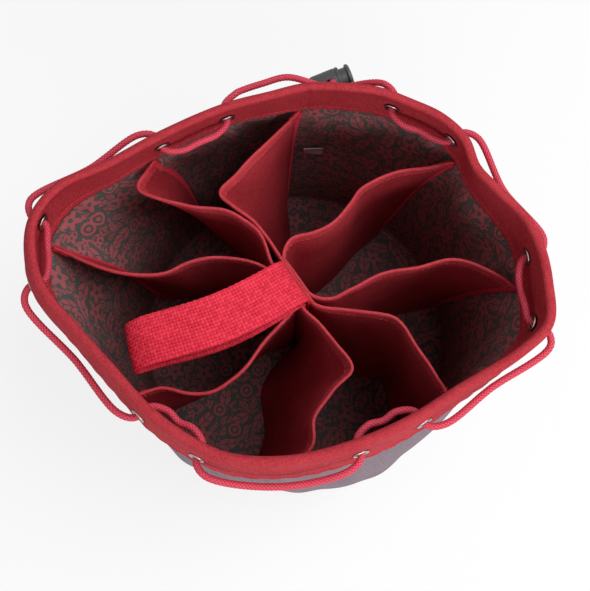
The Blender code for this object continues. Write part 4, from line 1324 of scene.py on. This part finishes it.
def hem_piece(name, grid, finish):
    """The folded hem: one cloth that wraps over the strip's top edge and hangs on both sides."""
    normal = grid_normals(grid)
    columns = grid.shape[0] - 1
    heights = grid[0, :, 2]
    drop = np.linspace(0, HEM_DEPTH, 9)
    top_turn = [(HEM_OFFSET * math.cos(t), -HEM_OFFSET * math.sin(t) * 1.2)
                for t in np.radians((30, 60, 90, 120, 150))]
    section = [(HEM_OFFSET, d) for d in drop[::-1]] + top_turn + [(-HEM_OFFSET, d) for d in drop]
    section = np.array(section)
    section[:, 0] += np.sign(section[:, 0]) * HEM_ROLL * bell(section[:, 1] - 0.9, 1.1)
    step = heights[1] - heights[0]

    def place(a, b):
        i = np.rint(a * columns).astype(int)
        offset, down = section[np.rint(b * (len(section) - 1)).astype(int)].T
        below = np.clip(down, 0, None) / step
        k = grid.shape[1] - 1 - below
        k0 = np.floor(k).astype(int)
        part = (k - k0)[:, None]
        k1 = np.minimum(k0 + 1, grid.shape[1] - 1)
        base = (1 - part) * grid[i, k0] + part * grid[i, k1]
        face = (1 - part) * normal[i, k0] + part * normal[i, k1]
        lifted = base + face * offset[:, None]
        lifted[:, 2] += np.clip(-down, 0, None)
        return lifted

    size = (length_of(grid[:, -1]), length_of(section))
    bm = laid_grid(columns, len(section) - 1, size, place)
    return thicken(add_piece(name, bm, finish), HEM_CLOTH)


OVERLOCK_STEP = 1.7
OVERLOCK_REACH = 3.8
OVERLOCK_PAST_END = 0.6
OVERLOCK_THREAD = 0.33
OVERLOCK_FROM = 3  # the row of the strip where the thread starts
OVERLOCK_OFF_HEM = 1.15
OVERLOCK_OFF_CLOTH = 0.70
OVERLOCK_TOP = 7  # columns of the strip whose top edge is sewn over too


def overlock(name, grid, normal, end, step):
    """A thread that loops over a strip's raw end, up to its top edge and a little way along it."""
    sewn = end + step * np.arange(1, OVERLOCK_TOP)
    edge = np.vstack([grid[end, OVERLOCK_FROM:], grid[sewn, -1]])
    inward = grid[end + 2 * step, OVERLOCK_FROM:] - grid[end, OVERLOCK_FROM:]
    inward /= np.linalg.norm(inward, axis=1, keepdims=True)
    inward = np.vstack([inward, np.tile([0.0, 0.0, -1.0], (len(sewn), 1))])
    across = np.vstack([normal[end, OVERLOCK_FROM:], normal[sewn, -1]])
    on_hem = edge[:, 2:] > DIVIDER_TOP - HEM_DEPTH
    half_thick = np.where(on_hem, OVERLOCK_OFF_HEM, OVERLOCK_OFF_CLOTH)
    along = distances(edge)
    count = int(along[-1] / OVERLOCK_STEP)
    edge, inward, across = (sampled(along, v, 4 * count) for v in (edge, inward, across * half_thick))
    reach = np.tile([0.0, 1.0, 0.0, 1.0], count)[:, None]
    side = np.tile([-1.0, -1.0, 1.0, 1.0], count)[:, None]
    line = edge + inward * (reach * OVERLOCK_REACH - OVERLOCK_PAST_END) + across * side
    fine_line = np.vstack([*smooth_pieces(line, [3] * (len(line) - 1)), line[-1:]])
    return tube(name, fine_line, OVERLOCK_THREAD, 5, red_thread)


# %% Make the four strips
SPINE_NEAR = GAP / 2 + WEBBING + GAP + CANVAS / 2
SPINE_FAR = SPINE_NEAR + CANVAS + GAP
STRIPS = [
    ("outer_right", (ARM_BACK_RIGHT, ARM_RIGHT), (SPINE_HALF, -SPINE_SHORT), SPINE_FAR, 0.4),
    ("inner_right", (ARM_BACK, ARM_FRONT_RIGHT), (SPINE_HALF, -SPINE_HALF), SPINE_NEAR, 1.9),
    ("inner_left", (ARM_BACK_LEFT, ARM_FRONT), (SPINE_HALF, -SPINE_HALF), -SPINE_NEAR, 3.1),
    ("outer_left", (ARM_LEFT, ARM_FRONT_LEFT), (SPINE_SHORT, -SPINE_SHORT), -SPINE_FAR, 4.6),
]
for label, arms, ends, across, seed in STRIPS:
    grid = slack(strip_grid(arms, ends, across), seed)
    normal = grid_normals(grid)
    strip = strip_piece(f"pocket_strip_{label}", grid, red_canvas)
    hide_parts(f"divider_strip_{label}")
    # The hems get the lighter red, a painted highlight.
    hem = hem_piece(f"pocket_hem_{label}", grid, hem_canvas_painted_light)
    hem_row = grid.shape[1] - 1 - round(HEM_DEPTH * 0.85 / (grid[0, 1, 2] - grid[0, 0, 2]))
    for side, word in ((1, "a"), (-1, "b")):
        face = normal[:, hem_row] * side
        seam = grid[:, hem_row] + face * (HEM_OFFSET + HEM_CLOTH / 2)
        stitch_row(f"pocket_seam_{label}_{word}", seam, face)
    for end, step, word in ((0, 1, "first"), (-1, -1, "last")):
        made = overlock(f"overlock_{label}_{word}", grid, normal, end, step)

# %% [markdown]
# ## The pull loop
#
# The loop is 25 mm webbing. Webbing is woven thick, and its crossings stand up enough to show from
# half a metre, so they are raised in the mesh itself. The finer yarn is left to the material.

# %% The loop's run
STRAP_WIDTH = 25.0
STRAP_TUCK = 30.0
STRAP_END_DIRECTION = (0.25, -0.97)
STRAP_UPPER = [(4, 8.0), (12, 10.5), (28, 12.5), (48, 12.0), (68, 10.0), (82, 8.0)]
STRAP_TIP = [(89, 4.0), (90, 0.5), (87, -3.0)]
STRAP_LOWER = [(78, -4.5), (60, -4.5), (44, -3.0), (32, 0.0), (20, 2.2), (9, 2.6)]
STRAP_SWING = 0.42
WEB_CELL = 1.7
WEB_RELIEF = 0.26
GRID_TO_A_CELL = 3


def strap_frame(distance, height):
    back = unit(SPINE_DIRECTION)
    square = np.array([-back[1], back[0]])
    share = ease(distance / max(STRAP_TIP)[0])
    turn = -STRAP_SWING * share
    run = np.array([
        square[0] * math.cos(turn) - square[1] * math.sin(turn),
        square[0] * math.sin(turn) + square[1] * math.cos(turn),
    ])
    sewn = 1 + min(0.0, height) / (DIVIDER_TOP - STRIP_FLOOR)
    place = spine_point(sewn, 0, 0) + (0.5 * (square + run)) * distance
    across = unit((1 - share) * -back + share * np.array(STRAP_END_DIRECTION))
    return place, across


def strap_line():
    side = GAP / 2 + WEBBING / 2
    points = [(-side, -STRAP_TUCK), (-side, -STRAP_TUCK / 2), (-side, -2), (-side + 0.6, 4.5)]
    points += [*STRAP_UPPER, *STRAP_TIP, *STRAP_LOWER]
    points += [(side + 0.4, 1.6), (side, -2), (side, -STRAP_TUCK / 2), (side, -STRAP_TUCK)]
    return np.vstack([*smooth_pieces(points, [16] * (len(points) - 1)), np.array(points[-1:])])


# %% Make the loop
strap_run = strap_line()
STRAP_LENGTH = length_of(strap_run)
strap_columns = round(STRAP_LENGTH / WEB_CELL * GRID_TO_A_CELL)
strap_rows = round(STRAP_WIDTH / WEB_CELL * GRID_TO_A_CELL)
strap_run = evenly(strap_run, strap_columns + 1)
frames = [strap_frame(distance, height) for distance, height in strap_run]
strap_middle = np.array([[*place, DIVIDER_TOP + height]
                         for (place, _), (_, height) in zip(frames, strap_run)])
strap_across = np.array([[*across, 0] for _, across in frames])
strap_normal = np.cross(np.gradient(strap_middle, axis=0), strap_across)
strap_normal /= np.linalg.norm(strap_normal, axis=1, keepdims=True)


def strap_place(a, b):
    i = np.rint(a * strap_columns).astype(int)
    across = (b - 0.5) * STRAP_WIDTH
    along = a * STRAP_LENGTH
    rows = np.cos(math.pi * along / WEB_CELL) * np.cos(math.pi * across / WEB_CELL)
    edge = np.clip((STRAP_WIDTH / 2 - np.abs(across)) / 0.9, 0, 1)
    relief = WEB_RELIEF * np.sign(rows) * np.abs(rows) ** 0.7 * edge
    cup = 0.5 * np.sin(along / 31.0) * (across / (STRAP_WIDTH / 2)) ** 2
    level = strap_middle[i] + strap_across[i] * across[:, None]
    return level + strap_normal[i] * (relief + cup)[:, None]


bm = laid_grid(strap_columns, strap_rows, (STRAP_LENGTH, STRAP_WIDTH), strap_place)
strap = thicken(add_piece("pull_strap_webbing", bm, webbing_yarn), WEBBING - 2 * WEB_RELIEF)
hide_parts("pull_strap")

# %% [markdown]
# ## The cord lock
#
# The lock is a small barrel with a sprung plunger. A slot goes through both, and the spring pushes
# the plunger out so that the slots pinch the cords. Barrel and plunger are spun from their sections,
# the slot is cut with a Boolean, and a small bevel softens the moulded edges.

# %% Moulded plastic and spring wire
black_plastic, tree, shader, place = mottled_material(
    "black_plastic", 0.45, 0.0, 300.0, 2.0, (0.040, 0.040, 0.044), (0.058, 0.058, 0.062))
uneven_roughness(tree, shader, place, 500.0, 0.33)
add_bump(tree, shader, noise(tree, place, 5200.0, 3.0), 0.05)
spring_steel = mottled_material(
    "spring_steel", 0.35, 1.0, 1500.0, 2.0, (0.52, 0.52, 0.54), (0.38, 0.38, 0.40))[0]

# %% Turn and cut the lock's two parts
SLOT_CORNER = 1.6
MOULDED_EDGE = 0.22
AROUND_LOCK = 64
place, along, across, upward = lock_frame()
LOCK_PLACE = (Matrix.Translation(Vector(place))
              @ Matrix([along, across, upward]).transposed().to_4x4())


def slot_cutter(start, end):
    """A rounded slot across the lock, hidden, which both cords pass through."""
    bm = bmesh.new()
    size = (end - start, 2 * SLOT_HALF, 4 * LOCK_RADIUS)
    shape = Matrix.Translation(((start + end) / 2, 0, 0)) @ Matrix.Diagonal((*size, 1))
    bmesh.ops.create_cube(bm, size=1, matrix=LOCK_PLACE @ shape)
    upright = [e for e in bm.edges
               if abs(unit(e.verts[1].co - e.verts[0].co) @ upward) > 0.9]
    bmesh.ops.bevel(bm, geom=upright, offset=SLOT_CORNER, segments=4, profile=0.5, affect="EDGES",
                    material=-1)
    bmesh.ops.recalc_face_normals(bm, faces=bm.faces)
    return bm


def turned_part(name, section, slot, body):
    """A part spun about the lock's axis, with its slot cut and its edges softened."""
    bm = spun(bmesh.new(), section, np.zeros(3), np.array([1.0, 0, 0]), np.array([0, 1.0, 0]),
              AROUND_LOCK)
    bmesh.ops.transform(bm, matrix=LOCK_PLACE, verts=bm.verts)
    part = add_piece(name, bm, black_plastic, body, smooth=False)
    cutter = add_piece(name + "_cut", slot_cutter(*slot), black_plastic, body, smooth=False)
    cut = part.modifiers.new("slot", "BOOLEAN")
    cut.operation = "DIFFERENCE"
    cut.solver = "EXACT"
    cut.object = cutter
    graph = bpy.context.evaluated_depsgraph_get()
    made = bpy.data.meshes.new_from_object(part.evaluated_get(graph))
    part.modifiers.clear()
    part.data = made
    bpy.data.objects.remove(cutter)
    soften = part.modifiers.new("edges", "BEVEL")
    soften.width = MOULDED_EDGE * MM
    soften.segments = 2
    soften.limit_method = "ANGLE"
    soften.angle_limit = math.radians(40)
    made.shade_smooth()
    made.set_sharp_from_angle(angle=math.radians(35))
    return part


bore_floor = LOCK_CLOSED_END + LOCK_END_WALL
barrel_section = [
    (0, LOCK_CLOSED_END), (LOCK_RADIUS - 2.0, LOCK_CLOSED_END),
    (LOCK_RADIUS - 0.7, LOCK_CLOSED_END + 0.5),
    (LOCK_RADIUS, LOCK_CLOSED_END + 1.7), (LOCK_RADIUS, LOCK_OPEN_END - 2.6),
    (LOCK_RADIUS - 0.35, LOCK_OPEN_END - 2.4), (LOCK_RADIUS - 0.35, LOCK_OPEN_END - 1.9),
    (LOCK_RADIUS, LOCK_OPEN_END - 1.7), (LOCK_RADIUS, LOCK_OPEN_END - 0.4),
    (LOCK_RADIUS - 0.4, LOCK_OPEN_END), (BORE_RADIUS, LOCK_OPEN_END), (BORE_RADIUS, bore_floor),
    (0, bore_floor),
]
barrel = turned_part("cord_lock_barrel", barrel_section, (-CORD_ROOM - LOCK_TRAVEL / 2, CORD_ROOM),
                     "pouch")
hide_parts("cord_lock_body")
stem, head_end = BORE_RADIUS - GAP, HEAD_FROM + PLUNGER_HEAD
plunger_section = [
    (0, PLUNGER_INNER_END), (stem - 0.4, PLUNGER_INNER_END), (stem, PLUNGER_INNER_END + 0.4),
    (stem, HEAD_FROM), (PLUNGER_HEAD_RADIUS - 0.3, HEAD_FROM), (PLUNGER_HEAD_RADIUS, HEAD_FROM + 0.3),
    (PLUNGER_HEAD_RADIUS, head_end - 1.1), (PLUNGER_HEAD_RADIUS - 0.35, head_end - 0.4),
    (PLUNGER_HEAD_RADIUS - 1.3, head_end), (PLUNGER_HEAD_RADIUS - 1.8, head_end - 0.3),
    (0, head_end - 0.3),
]
plunger = turned_part("cord_lock_button", plunger_section, (-CORD_ROOM, CORD_ROOM + LOCK_TRAVEL),
                      "lock_plunger")
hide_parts("cord_lock_plunger")

# %% The spring stays the CAD piece
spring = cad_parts["cord_lock_spring"]
spring.data.materials.clear()
spring.data.materials.append(spring_steel)

# %% [markdown]
# ## The care label
#
# A short blank tape lies on the lining at the back, and only its weave shows. Its upper end stands
# a little away from the lining, so the camera sees it nearly edge-on.

# %% Make the label
LABEL_WIDTH = 12.0
LABEL_LENGTH = 16.0
LABEL_TOP_DROP = 94.0
LABEL_STATION = -4.0
LABEL_SPLAY = 1.5
LABEL_CLEAR = 1.2
LABEL_TAPE = 0.4


def label_place(a, b):
    station = (LABEL_STATION + LABEL_WIDTH * (a - 0.5)) / WALL_LENGTH
    down = 1 - b
    z = HEIGHT - LABEL_TOP_DROP - LABEL_LENGTH * down
    splay = LABEL_SPLAY * (2.6 * b**2 + 1.2 * a * b)
    clear = LABEL_CLEAR - LINING_IN + splay + 0.3 * np.sin(3 * a) * down
    return layer_points(station, z, -clear)


bm = laid_grid(24, 32, (LABEL_WIDTH, LABEL_LENGTH), label_place)
label = thicken(add_piece("care_label_tape", bm, label_tape), LABEL_TAPE)
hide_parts("care_label")

# %% [markdown]
# ## Floor and light
#
# The pouch stands on a plain pale sheet under soft studio light. The world is white to the camera
# and to reflections only, so the background is white while the object is lit at a plain level.

# %% Floor
FLOOR_GLOW = 0.985
GLOW_SHARE = 0.78  # the rest is the lit floor, which keeps the shadow


def floor_material():
    made, tree, shader = new_material("pale_floor", 0.9)
    shader.inputs["Base Color"].default_value = (0.88, 0.88, 0.88, 1)
    shader.inputs["Specular IOR Level"].default_value = 0.1
    glow = node(tree, "ShaderNodeEmission", {"Color": (FLOOR_GLOW, FLOOR_GLOW, FLOOR_GLOW)})
    path = node(tree, "ShaderNodeLightPath")
    seen = math_node(tree, "MULTIPLY", path.outputs["Is Camera Ray"], GLOW_SHARE)
    blend = node(tree, "ShaderNodeMixShader", {0: seen, 1: shader.outputs[0], 2: glow.outputs[0]})
    tree.links.new(blend.outputs[0], tree.nodes["Material Output"].inputs["Surface"])
    return made


bm = bmesh.new()
bmesh.ops.create_grid(bm, x_segments=8, y_segments=8, size=3.0)
sheet_mesh = bpy.data.meshes.new("floor")
bm.to_mesh(sheet_mesh)
bm.free()
floor = bpy.data.objects.new("floor", sheet_mesh)
bpy.context.scene.collection.objects.link(floor)
sheet_mesh.materials.append(floor_material())
floor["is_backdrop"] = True

# %% World and lamps
world = bpy.data.worlds.new("studio")
bpy.context.scene.world = world
world.use_nodes = True
tree = world.node_tree
background = tree.nodes["Background"]
background.inputs["Color"].default_value = (1, 1, 1, 1)
path = node(tree, "ShaderNodeLightPath")
seen = math_node(tree, "MAXIMUM", path.outputs["Is Camera Ray"],
                 math_node(tree, "MAXIMUM", path.outputs["Is Glossy Ray"],
                           path.outputs["Is Transmission Ray"]))
WORLD_LEVEL = 0.36
level = math_node(tree, "MULTIPLY_ADD", seen, 1.0 - WORLD_LEVEL, WORLD_LEVEL)
tree.links.new(level, background.inputs["Strength"])


def add_lamp(name, place, aim, size, power):
    data = bpy.data.lights.new(name, "AREA")
    data.shape = "SQUARE"
    data.size = size
    data.energy = power
    lamp = bpy.data.objects.new(name, data)
    lamp.location = place
    lamp.rotation_euler = (Vector(aim) - Vector(place)).to_track_quat("-Z", "Y").to_euler()
    bpy.context.scene.collection.objects.link(lamp)


# Each place and aim in metres, the side in metres and the power in watts
add_lamp("softbox_over", (0.55, 0.05, 1.15), (0, 0, 0.1), 0.8, 11.0)
add_lamp("softbox_front", (0.25, -1.2, 0.7), (0, 0, 0.12), 0.8, 9.0)
bpy.context.scene.view_settings.view_transform = "Standard"

# %% Print the bounding boxes of the CAD model and of the dressed scene
visual_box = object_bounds()
for name, box in (("cad", cad_box), ("visual", visual_box)):
    print(name, [round(c * 1000, 1) for corner in box for c in corner])
